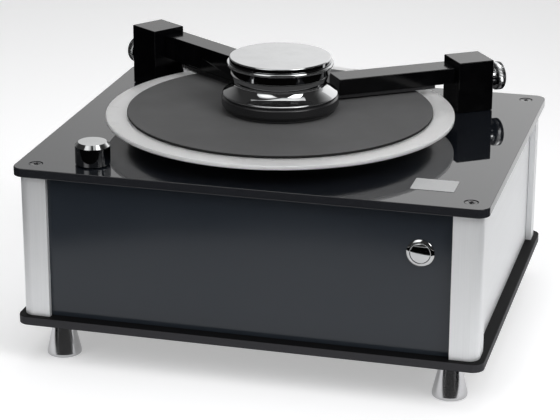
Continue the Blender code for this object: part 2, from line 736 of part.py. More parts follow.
def make_feet(machine):
    """Four polished cone feet, each with a stud into the base plate and a rubber pad below."""
    stud_top = BASE_TOP - SEAT_GAP
    shoulder = FOOT_HEIGHT - SEAT_GAP
    recess = PAD_THICKNESS + SEAT_GAP
    for name, sx, sy in corners():
        profile = [
            (0, stud_top),
            (FOOT_STUD_RADIUS, stud_top),
            (FOOT_STUD_RADIUS, shoulder),
            (FOOT_TOP_RADIUS, shoulder),
            (FOOT_TOP_RADIUS, shoulder - FOOT_COLLAR_HEIGHT),
            (FOOT_BOTTOM_RADIUS, PAD_PROUD + FOOT_RIM_HEIGHT),
            (FOOT_BOTTOM_RADIUS, PAD_PROUD),
            (PAD_RADIUS + SEAT_GAP, PAD_PROUD),
            (PAD_RADIUS + SEAT_GAP, recess),
            (0, recess),
        ]
        spot = (sx * FOOT_X, sy * FOOT_Y, 0)
        turned("foot_" + name, profile, chrome(), machine, spot)
        pad = [(0, PAD_THICKNESS), (PAD_RADIUS, PAD_THICKNESS), (PAD_RADIUS, 0), (0, 0)]
        turned("foot_pad_" + name, pad, rubber(), machine, spot, steps=ROUND_STEPS)


# Platter and its drive

def make_platter(machine):
    """The opal disc, its mat, the hub with its shaft, and the spindle, all on the platter's axis."""
    axis = axis_empty("platter_axis", machine, (PLATTER_X, PLATTER_Y, DECK))
    top = PLATTER_LEVEL
    bottom = top - PLATTER_THICKNESS
    hole = HUB_PILOT_RADIUS + SEAT_GAP
    ease = PLATTER_EDGE_BREAK
    disc = [
        (hole, top),
        (PLATTER_RADIUS - ease, top),
        (PLATTER_RADIUS, top - ease),
        (PLATTER_RADIUS, bottom),
        (hole, bottom),
    ]
    turned("platter_disc", disc, opal(), axis, steps=DISC_STEPS, closed=True)
    low = top + SEAT_GAP
    high = low + MAT_THICKNESS
    mat_hole = SPINDLE_RADIUS + SEAT_GAP
    mat = [
        (mat_hole, high),
        (MAT_RADIUS - MAT_EDGE_BREAK, high),
        (MAT_RADIUS, high - MAT_EDGE_BREAK),
        (MAT_RADIUS, low),
        (mat_hole, low),
    ]
    turned("platter_mat", mat, rubber(), axis, steps=DISC_STEPS, closed=True)
    shelf = bottom - SEAT_GAP
    boss_foot = BEARING_FLANGE_THICKNESS + 2 * SEAT_GAP
    seat = SPINDLE_RADIUS + SEAT_GAP
    hub = [
        (0, top),
        (HUB_PILOT_RADIUS, top),
        (HUB_PILOT_RADIUS, shelf),
        (HUB_FLANGE_RADIUS, shelf),
        (HUB_FLANGE_RADIUS, shelf - HUB_FLANGE_THICKNESS),
        (HUB_BOSS_RADIUS, shelf - HUB_FLANGE_THICKNESS),
        (HUB_BOSS_RADIUS, boss_foot),
        (HUB_SHAFT_RADIUS, boss_foot),
        (HUB_SHAFT_RADIUS, shaft_end()),
        (0, shaft_end()),
    ]
    hub_body = turned("platter_hub", hub, steel(), axis)
    cut(hub_body, rod_cutter("spindle_seat", seat, top - SPINDLE_SEAT_DEPTH - SEAT_GAP, top + OVERRUN, (0, 0), axis))
    tip = mat_top() + SPINDLE_RISE
    spindle = [
        (0, tip),
        (SPINDLE_RADIUS - SPINDLE_TIP, tip),
        (SPINDLE_RADIUS, tip - 2 * SPINDLE_TIP),
        (SPINDLE_RADIUS, top - SPINDLE_SEAT_DEPTH),
        (0, top - SPINDLE_SEAT_DEPTH),
    ]
    turned("platter_spindle", spindle, chrome(), axis, steps=SMALL_STEPS)
    return axis


def mat_top():
    """The mat's upper face above the deck."""
    return PLATTER_LEVEL + SEAT_GAP + MAT_THICKNESS


def motor_top():
    """The gearbox's upper face, below the deck."""
    return -(PLATE_THICKNESS + SEAT_GAP + MOTOR_LEG_LENGTH)


def shaft_end():
    """The lower end of the hub's shaft, inside the motor's coupling."""
    return motor_top() - MOTOR_COUPLING_DEPTH + SEAT_GAP


def make_platter_bearing(machine):
    """The flanged sleeve in the upper plate that carries the hub."""
    bore = HUB_SHAFT_RADIUS + SEAT_GAP
    flange_foot = SEAT_GAP
    flange_top = flange_foot + BEARING_FLANGE_THICKNESS
    foot = -(PLATE_THICKNESS + BEARING_SLEEVE_LENGTH)
    profile = [
        (bore, flange_top),
        (BEARING_FLANGE_RADIUS, flange_top),
        (BEARING_FLANGE_RADIUS, flange_foot),
        (BEARING_SLEEVE_RADIUS, flange_foot),
        (BEARING_SLEEVE_RADIUS, foot),
        (bore, foot),
    ]
    return turned("platter_bearing", profile, steel(), machine, (PLATTER_X, PLATTER_Y, DECK), closed=True)


def make_gear_motor(machine):
    """A flat gearbox on three legs with the motor can below and two terminals."""
    spot = (PLATTER_X, PLATTER_Y, DECK)
    top = motor_top()
    waist = top - GEARBOX_HEIGHT
    foot = waist - MOTOR_CAN_HEIGHT
    profile = [
        (0, top),
        (GEARBOX_RADIUS, top),
        (GEARBOX_RADIUS, waist),
        (MOTOR_CAN_RADIUS, waist),
        (MOTOR_CAN_RADIUS, foot),
        (0, foot),
    ]
    motor = turned("gear_motor", profile, steel(), machine, spot)
    centre = axis_empty("motor_reference", machine, spot)
    leg_circle = GEARBOX_RADIUS - MOTOR_LEG_INSET - MOTOR_LEG_RADIUS
    for i in range(MOTOR_LEG_COUNT):
        angle = math.radians(90 + 360 * i / MOTOR_LEG_COUNT)
        at = (leg_circle * math.cos(angle), leg_circle * math.sin(angle))
        join(motor, rod_cutter(f"motor_leg_{i}", MOTOR_LEG_RADIUS, top - OVERRUN, top + MOTOR_LEG_LENGTH, at, centre))
    tab = (TERMINAL_WIDTH, TERMINAL_DEPTH, TERMINAL_HEIGHT + OVERRUN)
    join(motor, bar_cutter("motor_terminal", tab, (0, 0, foot - TERMINAL_HEIGHT / 2 + OVERRUN / 2), centre))
    cut(motor, rod_cutter("motor_coupling", HUB_SHAFT_RADIUS + SEAT_GAP, top - MOTOR_COUPLING_DEPTH, top + OVERRUN,
                          (0, 0), centre, ROUND_STEPS))
    return motor


# Clamp

def make_clamp(platter_axis):
    """The turned clamp: a bell foot, a waisted neck, a drum with a bead and a polished cap over it."""
    axis = axis_empty("clamp_axis", platter_axis, (0, 0, 0))
    seat = mat_top() + SEAT_GAP
    foot = seat + SEAL_HEIGHT - SEAL_GROOVE_DEPTH + SEAT_GAP
    cap_foot = CLAMP_TOP_LEVEL - CLAMP_CAP_THICKNESS
    body_top = cap_foot - SEAT_GAP
    bead = CLAMP_BEAD_THICKNESS / 2
    bead_level = body_top - bead
    flare_height = CLAMP_NECK_LEVEL - CLAMP_BELL_LEVEL
    flare_width = CLAMP_BELL_RADIUS - CLAMP_NECK_RADIUS
    flare = []
    for i in range(CLAMP_FLARE_STEPS + 1):
        angle = math.radians(90 * i / CLAMP_FLARE_STEPS)
        radius = CLAMP_BELL_RADIUS - flare_width * math.cos(angle)
        flare.append((radius, CLAMP_NECK_LEVEL - flare_height * math.sin(angle)))
    waist = (CLAMP_DRUM_RADIUS - CLAMP_NECK_RADIUS) / 3
    rim_step = CLAMP_RIM_RADIUS - CLAMP_BELL_RADIUS
    profile = [(0, body_top), (CLAMP_BEAD_RADIUS - bead, body_top)]
    profile += arc((CLAMP_BEAD_RADIUS - bead, bead_level), bead, *CLAMP_BEAD_ARC_DEG, CLAMP_BEAD_STEPS)
    profile += [
        (CLAMP_DRUM_RADIUS, body_top - CLAMP_BEAD_THICKNESS - rim_step),
        (CLAMP_DRUM_RADIUS, CLAMP_DRUM_LEVEL),
        (CLAMP_DRUM_RADIUS - waist, CLAMP_DRUM_LEVEL - waist),
        (CLAMP_NECK_RADIUS + waist / 2, CLAMP_NECK_LEVEL + waist),
    ]
    profile += flare
    profile += [
        (CLAMP_BELL_RADIUS + rim_step / 3, CLAMP_BELL_LEVEL - rim_step / 3),
        (CLAMP_BELL_RADIUS + rim_step / 3, CLAMP_BELL_LEVEL - rim_step),
        (CLAMP_GROOVE_RADIUS, CLAMP_BELL_LEVEL - rim_step),
        (CLAMP_GROOVE_RADIUS, CLAMP_BELL_LEVEL - rim_step - CLAMP_GROOVE_HEIGHT),
        (CLAMP_RIM_RADIUS, CLAMP_BELL_LEVEL - 2 * rim_step - CLAMP_GROOVE_HEIGHT),
        (CLAMP_RIM_RADIUS, foot + CLAMP_FOOT_CHAMFER),
        (CLAMP_RIM_RADIUS - CLAMP_FOOT_CHAMFER / 2, foot + CLAMP_FOOT_CHAMFER / 4),
        (CLAMP_RIM_RADIUS - CLAMP_FOOT_CHAMFER, foot),
        (0, foot),
    ]
    body = turned("clamp_body", profile, chrome(), axis, steps=FINE_STEPS)
    bore_top = mat_top() + SPINDLE_RISE + CLAMP_BORE_CLEARANCE
    groove_top = foot + SEAL_GROOVE_DEPTH
    groove = [
        (SEAL_INNER_RADIUS - SEAT_GAP, groove_top),
        (SEAL_OUTER_RADIUS + SEAT_GAP, groove_top),
        (SEAL_OUTER_RADIUS + SEAT_GAP, foot - OVERRUN),
        (SEAL_INNER_RADIUS - SEAT_GAP, foot - OVERRUN),
    ]
    stub_seat = body_top - CLAMP_STUB_LENGTH - SEAT_GAP
    cut(
        body,
        rod_cutter("clamp_bore", CLAMP_BORE_RADIUS, foot - OVERRUN, bore_top, (0, 0), axis),
        rod_cutter("clamp_stub_seat", CLAMP_STUB_RADIUS + SEAT_GAP, stub_seat, body_top + OVERRUN, (0, 0), axis,
                   FINE_STEPS),
        turned("clamp_seal_groove", groove, None, axis, steps=FINE_STEPS, closed=True),
    )
    seal_top = seat + SEAL_HEIGHT
    seal = [
        (SEAL_INNER_RADIUS, seal_top),
        (SEAL_OUTER_RADIUS, seal_top),
        (SEAL_OUTER_RADIUS, seat),
        (SEAL_INNER_RADIUS, seat),
    ]
    turned("clamp_seal", seal, rubber(), axis, steps=FINE_STEPS, closed=True)
    ease = CLAMP_BEAD_THICKNESS / 4
    cap = [
        (0, CLAMP_TOP_LEVEL),
        (CLAMP_CAP_RADIUS - ease, CLAMP_TOP_LEVEL),
        (CLAMP_CAP_RADIUS, CLAMP_TOP_LEVEL - ease),
        (CLAMP_CAP_RADIUS, cap_foot),
        (CLAMP_STUB_RADIUS, cap_foot),
        (CLAMP_STUB_RADIUS, body_top - CLAMP_STUB_LENGTH),
        (0, body_top - CLAMP_STUB_LENGTH),
    ]
    turned("clamp_cap", cap, chrome(), axis, steps=FINE_STEPS)


# Posts and arms

def make_bush(name, x, y, machine):
    """The flanged bush pushed up into the upper plate, in which a post's tube turns."""
    bore = TUBE_RADIUS + SEAT_GAP
    face = -PLATE_THICKNESS - SEAT_GAP
    flange_foot = face - BUSH_FLANGE_THICKNESS
    foot = flange_foot - BUSH_DROP
    profile = [
        (bore, 0),
        (BUSH_RADIUS, 0),
        (BUSH_RADIUS, face),
        (BUSH_FLANGE_RADIUS, face),
        (BUSH_FLANGE_RADIUS, flange_foot),
        (BUSH_RADIUS, flange_foot),
        (BUSH_RADIUS, foot),
        (bore, foot),
    ]
    return turned(name, profile, steel(), machine, (x, y, DECK), closed=True)


def collar_top():
    """The upper face of a tube's collar, just under its bush and below the deck."""
    return -(PLATE_THICKNESS + BUSH_FLANGE_THICKNESS + BUSH_DROP + 2 * SEAT_GAP)


def tube_foot():
    """The lower end of a post's tube, below the deck."""
    return -(PLATE_THICKNESS + TUBE_DROP)


def make_tube(name, axis):
    """The swivel tube with the collar that holds it up against its bush."""
    collar = collar_top()
    profile = [
        (TUBE_BORE_RADIUS, TUBE_RISE),
        (TUBE_RADIUS, TUBE_RISE),
        (TUBE_RADIUS, collar),
        (COLLAR_RADIUS, collar),
        (COLLAR_RADIUS, collar - COLLAR_HEIGHT),
        (TUBE_RADIUS, collar - COLLAR_HEIGHT),
        (TUBE_RADIUS, tube_foot()),
        (TUBE_BORE_RADIUS, tube_foot()),
    ]
    return turned(name, profile, steel(), axis, closed=True)


def make_post(name, height, bar_shift, bar_bottom, bar_top, axis):
    """The square post: bored from below for its tube, slotted for the arm's tongue, tapped for its knob."""
    middle = SEAT_GAP + (height - SEAT_GAP) / 2
    post = block(name, (POST_SIDE, POST_SIDE, height - SEAT_GAP), (0, 0, middle), satin_black(), axis,
                 edge_break=POST_EDGE_BREAK)
    bore = TUBE_RADIUS + SEAT_GAP
    cut(post, rod_cutter(name + "_bore", bore, SEAT_GAP - OVERRUN, POST_BORE_RISE, (0, 0), axis, ROUND_STEPS))
    low = bar_bottom + TONGUE_INSET - SEAT_GAP
    high = bar_top - TONGUE_INSET + SEAT_GAP
    length = POST_SIDE / 2 + OVERRUN
    slot = (length, TONGUE_WIDTH + 2 * SEAT_GAP, high - low)
    cut(post, bar_cutter(name + "_slot", slot, (length / 2, bar_shift, (low + high) / 2), axis))
    hole = THUMB_SHANK_LENGTH + SEAT_GAP + OVERRUN
    hole_x = -POST_SIDE / 2 - OVERRUN + hole / 2
    cut(post, solid(name + "_tapping", rod_mesh(THUMB_SHANK_RADIUS + SEAT_GAP, hole), None, axis,
                    (hole_x, 0, THUMB_LEVEL), (0, math.pi / 2, 0)))
    return post


def arm_reach(post_x, post_y, turn, tip_gap):
    """From a post's axis along its arm to the tip, which stops short of the clamp's rim."""
    to_platter = (PLATTER_X - post_x) * math.cos(turn) + (PLATTER_Y - post_y) * math.sin(turn)
    return to_platter - CLAMP_RIM_RADIUS - tip_gap


def make_bar(name, reach, width, shift, bottom, top, axis):
    """An arm's square bar from its post's inner face to its tip, with the tongue that enters the post."""
    start = POST_SIDE / 2 + SEAT_GAP
    length = reach - start
    bar = block(name, (length, width, top - bottom), (start + length / 2, shift, (bottom + top) / 2), satin_black(),
                axis, edge_break=ARM_EDGE_BREAK)
    inside = TONGUE_LENGTH + OVERRUN
    tongue = (inside, TONGUE_WIDTH, top - bottom - 2 * TONGUE_INSET)
    centre = (start - TONGUE_LENGTH + inside / 2, shift, (bottom + top) / 2)
    return join(bar, bar_cutter(name + "_tongue", tongue, centre, axis))


def make_thumb_knob(name, axis):
    """A fluted thumb screw on the post's outer face, pressing on the tube inside."""
    start = -(POST_SIDE / 2 + SEAT_GAP)
    pivot = axis_empty(name + "_axis", axis, (start, 0, THUMB_LEVEL), (0, -math.pi / 2, 0))
    outer = THUMB_HUB_LENGTH + THUMB_DISC_THICKNESS
    outline = [
        (THUMB_DISC_RADIUS - THUMB_CHAMFER, outer),
        (THUMB_DISC_RADIUS, outer - THUMB_CHAMFER),
        (THUMB_DISC_RADIUS, THUMB_HUB_LENGTH + THUMB_CHAMFER),
        (THUMB_DISC_RADIUS - THUMB_CHAMFER, THUMB_HUB_LENGTH),
        (THUMB_HUB_RADIUS, THUMB_HUB_LENGTH),
        (THUMB_HUB_RADIUS, 0),
        (THUMB_SHANK_RADIUS, 0),
        (THUMB_SHANK_RADIUS, -THUMB_SHANK_LENGTH),
    ]
    knob = fluted_mesh(outline, THUMB_FLUTES, (False, True), THUMB_DISC_RADIUS, THUMB_FLUTE_DEPTH)
    return solid(name, knob, chrome(), pivot)


def make_suction_arm(machine):
    """The suction arm: post, bar with its air channel and slit, lips, thumb knob, tube and bush."""
    make_bush("suction_bush", SUCTION_X, SUCTION_Y, machine)
    turn = math.pi + math.radians(POST_TURN_DEG)
    axis = axis_empty("suction_axis", machine, (SUCTION_X, SUCTION_Y, DECK), (0, 0, turn))
    tip = arm_reach(SUCTION_X, SUCTION_Y, turn, SUCTION_TIP_GAP)
    make_tube("suction_tube", axis)
    make_post("suction_post", SUCTION_POST_HEIGHT, SUCTION_BAR_SHIFT, SUCTION_BAR_BOTTOM, SUCTION_BAR_TOP, axis)
    bar = make_bar("suction_arm", tip, SUCTION_BAR_WIDTH, SUCTION_BAR_SHIFT, SUCTION_BAR_BOTTOM, SUCTION_BAR_TOP,
                   axis)
    middle = (SUCTION_BAR_BOTTOM + SUCTION_BAR_TOP) / 2
    channel_start = POST_SIDE / 2 - TONGUE_LENGTH - OVERRUN
    channel = tip - CHANNEL_END - channel_start
    cut(bar, bar_cutter("air_channel", (channel, CHANNEL_WIDTH, CHANNEL_HEIGHT),
                        (channel_start + channel / 2, SUCTION_BAR_SHIFT, middle), axis))
    lip_length = tip - POST_SIDE / 2 - LIP_POST_GAP
    slit_length = lip_length - SLIT_START - SLIT_END
    slit_x = tip - SLIT_END - slit_length / 2
    slit_height = middle - SUCTION_BAR_BOTTOM + OVERRUN
    cut(bar, bar_cutter("air_slit", (slit_length, SLIT_WIDTH, slit_height),
                        (slit_x, SUCTION_BAR_SHIFT, SUCTION_BAR_BOTTOM - OVERRUN + slit_height / 2), axis))
    lip_top = SUCTION_BAR_BOTTOM - SEAT_GAP
    felt_foot = mat_top() + SEAT_GAP
    shoe_foot = felt_foot + LIP_FELT_HEIGHT
    lip_x = tip - lip_length / 2
    lips = block("suction_lips", (lip_length, LIP_WIDTH, lip_top - shoe_foot),
                 (lip_x, SUCTION_BAR_SHIFT, (lip_top + shoe_foot) / 2), felt(), axis)
    felt_height = LIP_FELT_HEIGHT + OVERRUN / 2
    join(lips, bar_cutter("felt_pad", (lip_length - SLIT_END, LIP_FELT_WIDTH, felt_height),
                          (lip_x, SUCTION_BAR_SHIFT, felt_foot + felt_height / 2), axis))
    lip_slit = lip_top - felt_foot + 2 * OVERRUN
    cut(lips, bar_cutter("lip_slit", (slit_length, SLIT_WIDTH, lip_slit),
                         (slit_x, SUCTION_BAR_SHIFT, (lip_top + felt_foot) / 2), axis))
    make_thumb_knob("suction_knob", axis)


def make_brush_arm(machine):
    """The brush arm: post, bar, brush head, thumb knob, tube and bush."""
    make_bush("brush_bush", BRUSH_X, BRUSH_Y, machine)
    turn = -math.radians(POST_TURN_DEG)
    axis = axis_empty("brush_axis", machine, (BRUSH_X, BRUSH_Y, DECK), (0, 0, turn))
    tip = arm_reach(BRUSH_X, BRUSH_Y, turn, BRUSH_TIP_GAP)
    make_tube("brush_tube", axis)
    make_post("brush_post", BRUSH_POST_HEIGHT, BRUSH_BAR_SHIFT, BRUSH_BAR_BOTTOM, BRUSH_BAR_TOP, axis)
    bar = make_bar("brush_arm", tip, BRUSH_BAR_WIDTH, BRUSH_BAR_SHIFT, BRUSH_BAR_BOTTOM, BRUSH_BAR_TOP, axis)
    front = BRUSH_BAR_SHIFT - BRUSH_BAR_WIDTH / 2
    middle = (BRUSH_BAR_BOTTOM + BRUSH_BAR_TOP) / 2
    hole = BRUSH_SCREW_DEPTH + OVERRUN
    cut(bar, solid("set_screw_hole", rod_mesh(BRUSH_SCREW_RADIUS, hole), None, axis,
                   (BRUSH_SCREW_ALONG, front - OVERRUN + hole / 2, middle), (math.pi / 2, 0, 0)))
    make_brush_head(tip, axis)
    make_thumb_knob("brush_knob", axis)


def make_brush_head(arm_tip, axis):
    """The brush: a backing strip whose underside carries staggered rows of tapered, three-sided bristles."""
    top = BRUSH_BAR_BOTTOM - SEAT_GAP
    bottom = top - BRUSH_BACK_HEIGHT
    tip = mat_top() + BRISTLE_CLEARANCE
    length = arm_tip - BRUSH_END - POST_SIDE / 2 - BRUSH_POST_GAP
    x = arm_tip - BRUSH_END - length / 2
    head = block("brush_head", (length, BRUSH_WIDTH, BRUSH_BACK_HEIGHT),
                 (x, BRUSH_BAR_SHIFT, (top + bottom) / 2), felt(), axis)
    root = bottom + BRUSH_BACK_HEIGHT / 2
    columns = int((length - 2 * BRISTLE_END_MARGIN) / BRISTLE_PITCH) + 1
    row_length = (columns - 1) * BRISTLE_PITCH
    row_pitch = (BRUSH_WIDTH - 2 * BRISTLE_MARGIN) / (BRISTLE_ROWS - 1)
    bm = bmesh.new()
    for row in range(BRISTLE_ROWS):
        y = BRUSH_BAR_SHIFT - BRUSH_WIDTH / 2 + BRISTLE_MARGIN + row * row_pitch
        stagger = (row % 2 - 0.5) * BRISTLE_PITCH / 2
        for column in range(columns):
            along = x - row_length / 2 + stagger + column * BRISTLE_PITCH
            middle = Matrix.Translation((along, y, (root + tip) / 2))
            bmesh.ops.create_cone(bm, cap_ends=True, segments=BRISTLE_SIDES, radius1=0, radius2=BRISTLE_RADIUS,
                                  depth=root - tip, matrix=middle)
    return join(head, solid("bristles", bm, None, axis))


# Controls

def make_selector(machine):
    """The selector knob on its rotary switch."""
    axis = axis_empty("selector_axis", machine, (SELECTOR_X, SELECTOR_Y, DECK))
    foot = SEAT_GAP
    top = SELECTOR_HEIGHT
    knob = [
        (0, top),
        (SELECTOR_TOP_RADIUS, top),
        (SELECTOR_RADIUS, top - SELECTOR_TOP_CHAMFER),
        (SELECTOR_RADIUS, foot + SELECTOR_FOOT_CHAMFER),
        (SELECTOR_RADIUS - SELECTOR_FOOT_CHAMFER, foot),
        (0, foot),
    ]
    body = turned("selector_knob", knob, chrome(), axis, steps=CONTROL_STEPS)
    cut(body, rod_cutter("selector_bore", SELECTOR_SHAFT_RADIUS + SEAT_GAP, foot - OVERRUN,
                         SELECTOR_BORE_DEPTH + SEAT_GAP, (0, 0), axis))
    shaft_foot = -(PLATE_THICKNESS + SELECTOR_BODY_HEIGHT / 2)
    shaft = [
        (0, SELECTOR_BORE_DEPTH),
        (SELECTOR_SHAFT_RADIUS, SELECTOR_BORE_DEPTH),
        (SELECTOR_SHAFT_RADIUS, shaft_foot),
        (0, shaft_foot),
    ]
    turned("selector_shaft", shaft, steel(), axis, steps=SMALL_STEPS)
    switch_top = -(PLATE_THICKNESS + SEAT_GAP)
    middle = switch_top - SELECTOR_BODY_HEIGHT / 2
    fixed = axis_empty("selector_reference", machine, (SELECTOR_X, SELECTOR_Y, DECK))
    switch = block("selector_switch", (SELECTOR_BODY_SIDE, SELECTOR_BODY_SIDE, SELECTOR_BODY_HEIGHT), (0, 0, middle),
                   satin_black(), fixed, edge_break=POST_EDGE_BREAK)
    join(switch, rod_cutter("selector_bush", SELECTOR_BUSH_RADIUS, switch_top - OVERRUN, -SEAT_GAP, (0, 0), fixed,
                            ROUND_STEPS))
    foot_level = switch_top - SELECTOR_BODY_HEIGHT
    for i in range(SELECTOR_LUG_COUNT):
        x = (i - (SELECTOR_LUG_COUNT - 1) / 2) * SELECTOR_LUG_PITCH
        lug = (SELECTOR_LUG_WIDTH, SELECTOR_LUG_WIDTH / 3, SELECTOR_LUG_HEIGHT + OVERRUN)
        spot = (x, 0, foot_level - SELECTOR_LUG_HEIGHT / 2 + OVERRUN / 2)
        join(switch, bar_cutter(f"selector_lug_{i}", lug, spot, fixed))
    cut(switch, rod_cutter("selector_shaft_hole", SELECTOR_SHAFT_RADIUS + SEAT_GAP, shaft_foot - SEAT_GAP,
                           OVERRUN, (0, 0), fixed))


def make_power_button(machine):
    """The round power button: bezel with a barrel, cap, and the switch screwed over the barrel behind."""
    front = axis_empty("power_axis", machine, (POWER_X, FRONT_FACE_Y, POWER_LEVEL))
    out = (math.pi / 2, 0, 0)
    bore = POWER_CAP_RADIUS + SEAT_GAP
    proud = POWER_BEZEL_PROUD
    bezel = [
        (bore, proud - POWER_BEZEL_CHAMFER),
        (bore + POWER_BEZEL_CHAMFER, proud),
        (POWER_BEZEL_RADIUS - POWER_BEZEL_CHAMFER, proud),
        (POWER_BEZEL_RADIUS, proud - POWER_BEZEL_CHAMFER),
        (POWER_BEZEL_RADIUS, SEAT_GAP),
        (POWER_BARREL_RADIUS, SEAT_GAP),
        (POWER_BARREL_RADIUS, -POWER_BARREL_LENGTH),
        (bore, -POWER_BARREL_LENGTH),
    ]
    turned("power_bezel", bezel, chrome(), front, rotation=out, steps=CONTROL_STEPS, closed=True)
    top = POWER_CAP_PROUD
    cap = [
        (0, top - POWER_CAP_DISH_DEPTH),
        (POWER_CAP_DISH_RADIUS, top - POWER_CAP_DISH_DEPTH),
        (POWER_CAP_DISH_RADIUS + POWER_CAP_DISH_DEPTH, top),
        (POWER_CAP_RADIUS - POWER_CAP_DISH_DEPTH, top),
        (POWER_CAP_RADIUS, top - 2 * POWER_CAP_DISH_DEPTH),
        (POWER_CAP_RADIUS, top - POWER_CAP_LENGTH),
        (0, top - POWER_CAP_LENGTH),
    ]
    turned("power_button", cap, chrome(), front, rotation=out, steps=CONTROL_STEPS)
    nut_front = -(PANEL_THICKNESS + SEAT_GAP)
    nut_back = nut_front - POWER_NUT_THICKNESS
    barrel = POWER_BARREL_RADIUS + SEAT_GAP
    neck = -(POWER_BARREL_LENGTH + SEAT_GAP)
    back = neck - POWER_BODY_LENGTH
    plunger = POWER_CAP_RADIUS / 3
    plunger_top = POWER_CAP_PROUD - POWER_CAP_LENGTH - POWER_TRAVEL - SEAT_GAP
    body = [
        (0, plunger_top),
        (plunger, plunger_top),
        (plunger, neck),
        (barrel, neck),
        (barrel, nut_front),
        (POWER_NUT_RADIUS, nut_front),
        (POWER_NUT_RADIUS, nut_back),
        (POWER_BODY_RADIUS, nut_back),
        (POWER_BODY_RADIUS, back),
        (plunger, back),
        (plunger, back - POWER_NUT_THICKNESS),
        (0, back - POWER_NUT_THICKNESS),
    ]
    turned("power_switch", body, satin_black(), front, rotation=out)


# Vacuum side

def duct_x():
    """The duct leaves along the fan housing's left side."""
    return VACUUM_X - VACUUM_FAN_RADIUS + VACUUM_DUCT_INSET + VACUUM_DUCT_SIDE / 2


def duct_level():
    """Middle of the fan housing, above the ground."""
    return BASE_TOP + SEAT_GAP + VACUUM_FLANGE_THICKNESS + VACUUM_CAN_HEIGHT + VACUUM_FAN_HEIGHT / 2


def tank_x():
    return (TANK_LEFT + TANK_RIGHT) / 2


def tank_y():
    """The tank stands under the suction tube."""
    return SUCTION_Y


def drain_x():
    return TANK_RIGHT - DRAIN_INSET


def drain_level():
    return BASE_TOP + SEAT_GAP + DRAIN_LEVEL


def make_vacuum_motor(machine):
    """The vacuum motor: base flange, motor can, fan housing, inlet neck and a square exhaust duct."""
    foot = BASE_TOP + SEAT_GAP
    flange = foot + VACUUM_FLANGE_THICKNESS
    shelf = flange + VACUUM_CAN_HEIGHT
    top = shelf + VACUUM_FAN_HEIGHT
    neck = top + VACUUM_NECK_HEIGHT
    mid = (shelf + top) / 2
    profile = [
        (0, neck),
        (VACUUM_NECK_RADIUS, neck),
        (VACUUM_NECK_RADIUS, top),
        (VACUUM_FAN_RADIUS - VACUUM_FLANGE_THICKNESS, top),
        (VACUUM_FAN_RADIUS, top - VACUUM_FLANGE_THICKNESS),
        (VACUUM_FAN_RADIUS, mid + VACUUM_WAIST),
        (VACUUM_FAN_RADIUS - VACUUM_WAIST, mid),
        (VACUUM_FAN_RADIUS, mid - VACUUM_WAIST),
        (VACUUM_FAN_RADIUS, shelf),
        (VACUUM_CAN_RADIUS, shelf),
        (VACUUM_CAN_RADIUS, flange),
        (VACUUM_FLANGE_RADIUS, flange),
        (VACUUM_FLANGE_RADIUS, foot),
        (0, foot),
    ]
    motor = turned("vacuum_motor", profile, steel(), machine, (VACUUM_X, VACUUM_Y, 0), steps=CONTROL_STEPS)
    mouth = -FRONT_FACE_Y - PANEL_THICKNESS - SEAT_GAP
    length = mouth - VACUUM_Y
    duct = (VACUUM_DUCT_SIDE, length, VACUUM_DUCT_SIDE)
    join(motor, bar_cutter("duct", duct, (duct_x(), VACUUM_Y + length / 2, duct_level()), machine))
    inner = VACUUM_DUCT_SIDE - 2 * VACUUM_DUCT_WALL
    pocket = VACUUM_DUCT_POCKET + OVERRUN
    cut(motor, bar_cutter("duct_pocket", (inner, pocket, inner),
                          (duct_x(), mouth - VACUUM_DUCT_POCKET + pocket / 2, duct_level()), machine))
    cut(motor, rod_cutter("neck_bore", SPIGOT_BORE_RADIUS, top, neck + OVERRUN, (VACUUM_X, VACUUM_Y), machine))
    return motor


def make_waste_tank(machine):
    """The waste tank: a hollow box with an inlet under the suction arm, an outlet and a drain at the back."""
    foot = BASE_TOP + SEAT_GAP
    top = foot + TANK_HEIGHT
    centre = (tank_x(), tank_y(), foot + TANK_HEIGHT / 2)
    tank = block("waste_tank", (TANK_LENGTH, TANK_DEPTH, TANK_HEIGHT), centre, grey_plastic(), machine,
                 corner_radius=TANK_CORNER_RADIUS)
    spigots = (("inlet", SUCTION_X), ("outlet", tank_outlet_x()))
    for name, x in spigots:
        join(tank, rod_cutter("spigot_" + name, SPIGOT_RADIUS, top - TANK_WALL / 2, top + SPIGOT_HEIGHT,
                              (x, tank_y()), machine, ROUND_STEPS))
    panel_back = -FRONT_FACE_Y
    drain_start = tank_y() + TANK_DEPTH / 2 - TANK_WALL / 2
    drain = panel_back + DRAIN_PROUD - drain_start
    along = (math.pi / 2, 0, 0)
    join(tank, solid("drain_pipe", rod_mesh(DRAIN_RADIUS, drain, ROUND_STEPS), None, machine,
                     (drain_x(), drain_start + drain / 2, drain_level()), along))
    inner = (TANK_LENGTH - 2 * TANK_WALL, TANK_DEPTH - 2 * TANK_WALL, TANK_HEIGHT - 2 * TANK_WALL)
    cut(tank, bar_cutter("tank_hollow", inner, centre, machine))
    for name, x in spigots:
        cut(tank, rod_cutter("bore_" + name, SPIGOT_BORE_RADIUS, top - 2 * TANK_WALL, top + SPIGOT_HEIGHT + OVERRUN,
                             (x, tank_y()), machine, ROUND_STEPS))
    bore = drain + TANK_WALL + OVERRUN
    cut(tank, solid("drain_bore", rod_mesh(DRAIN_BORE_RADIUS, bore, ROUND_STEPS), None, machine,
                    (drain_x(), panel_back + DRAIN_PROUD + OVERRUN - bore / 2, drain_level()), along))
    return tank


def tank_outlet_x():
    return TANK_LEFT + TANK_OUTLET_INSET


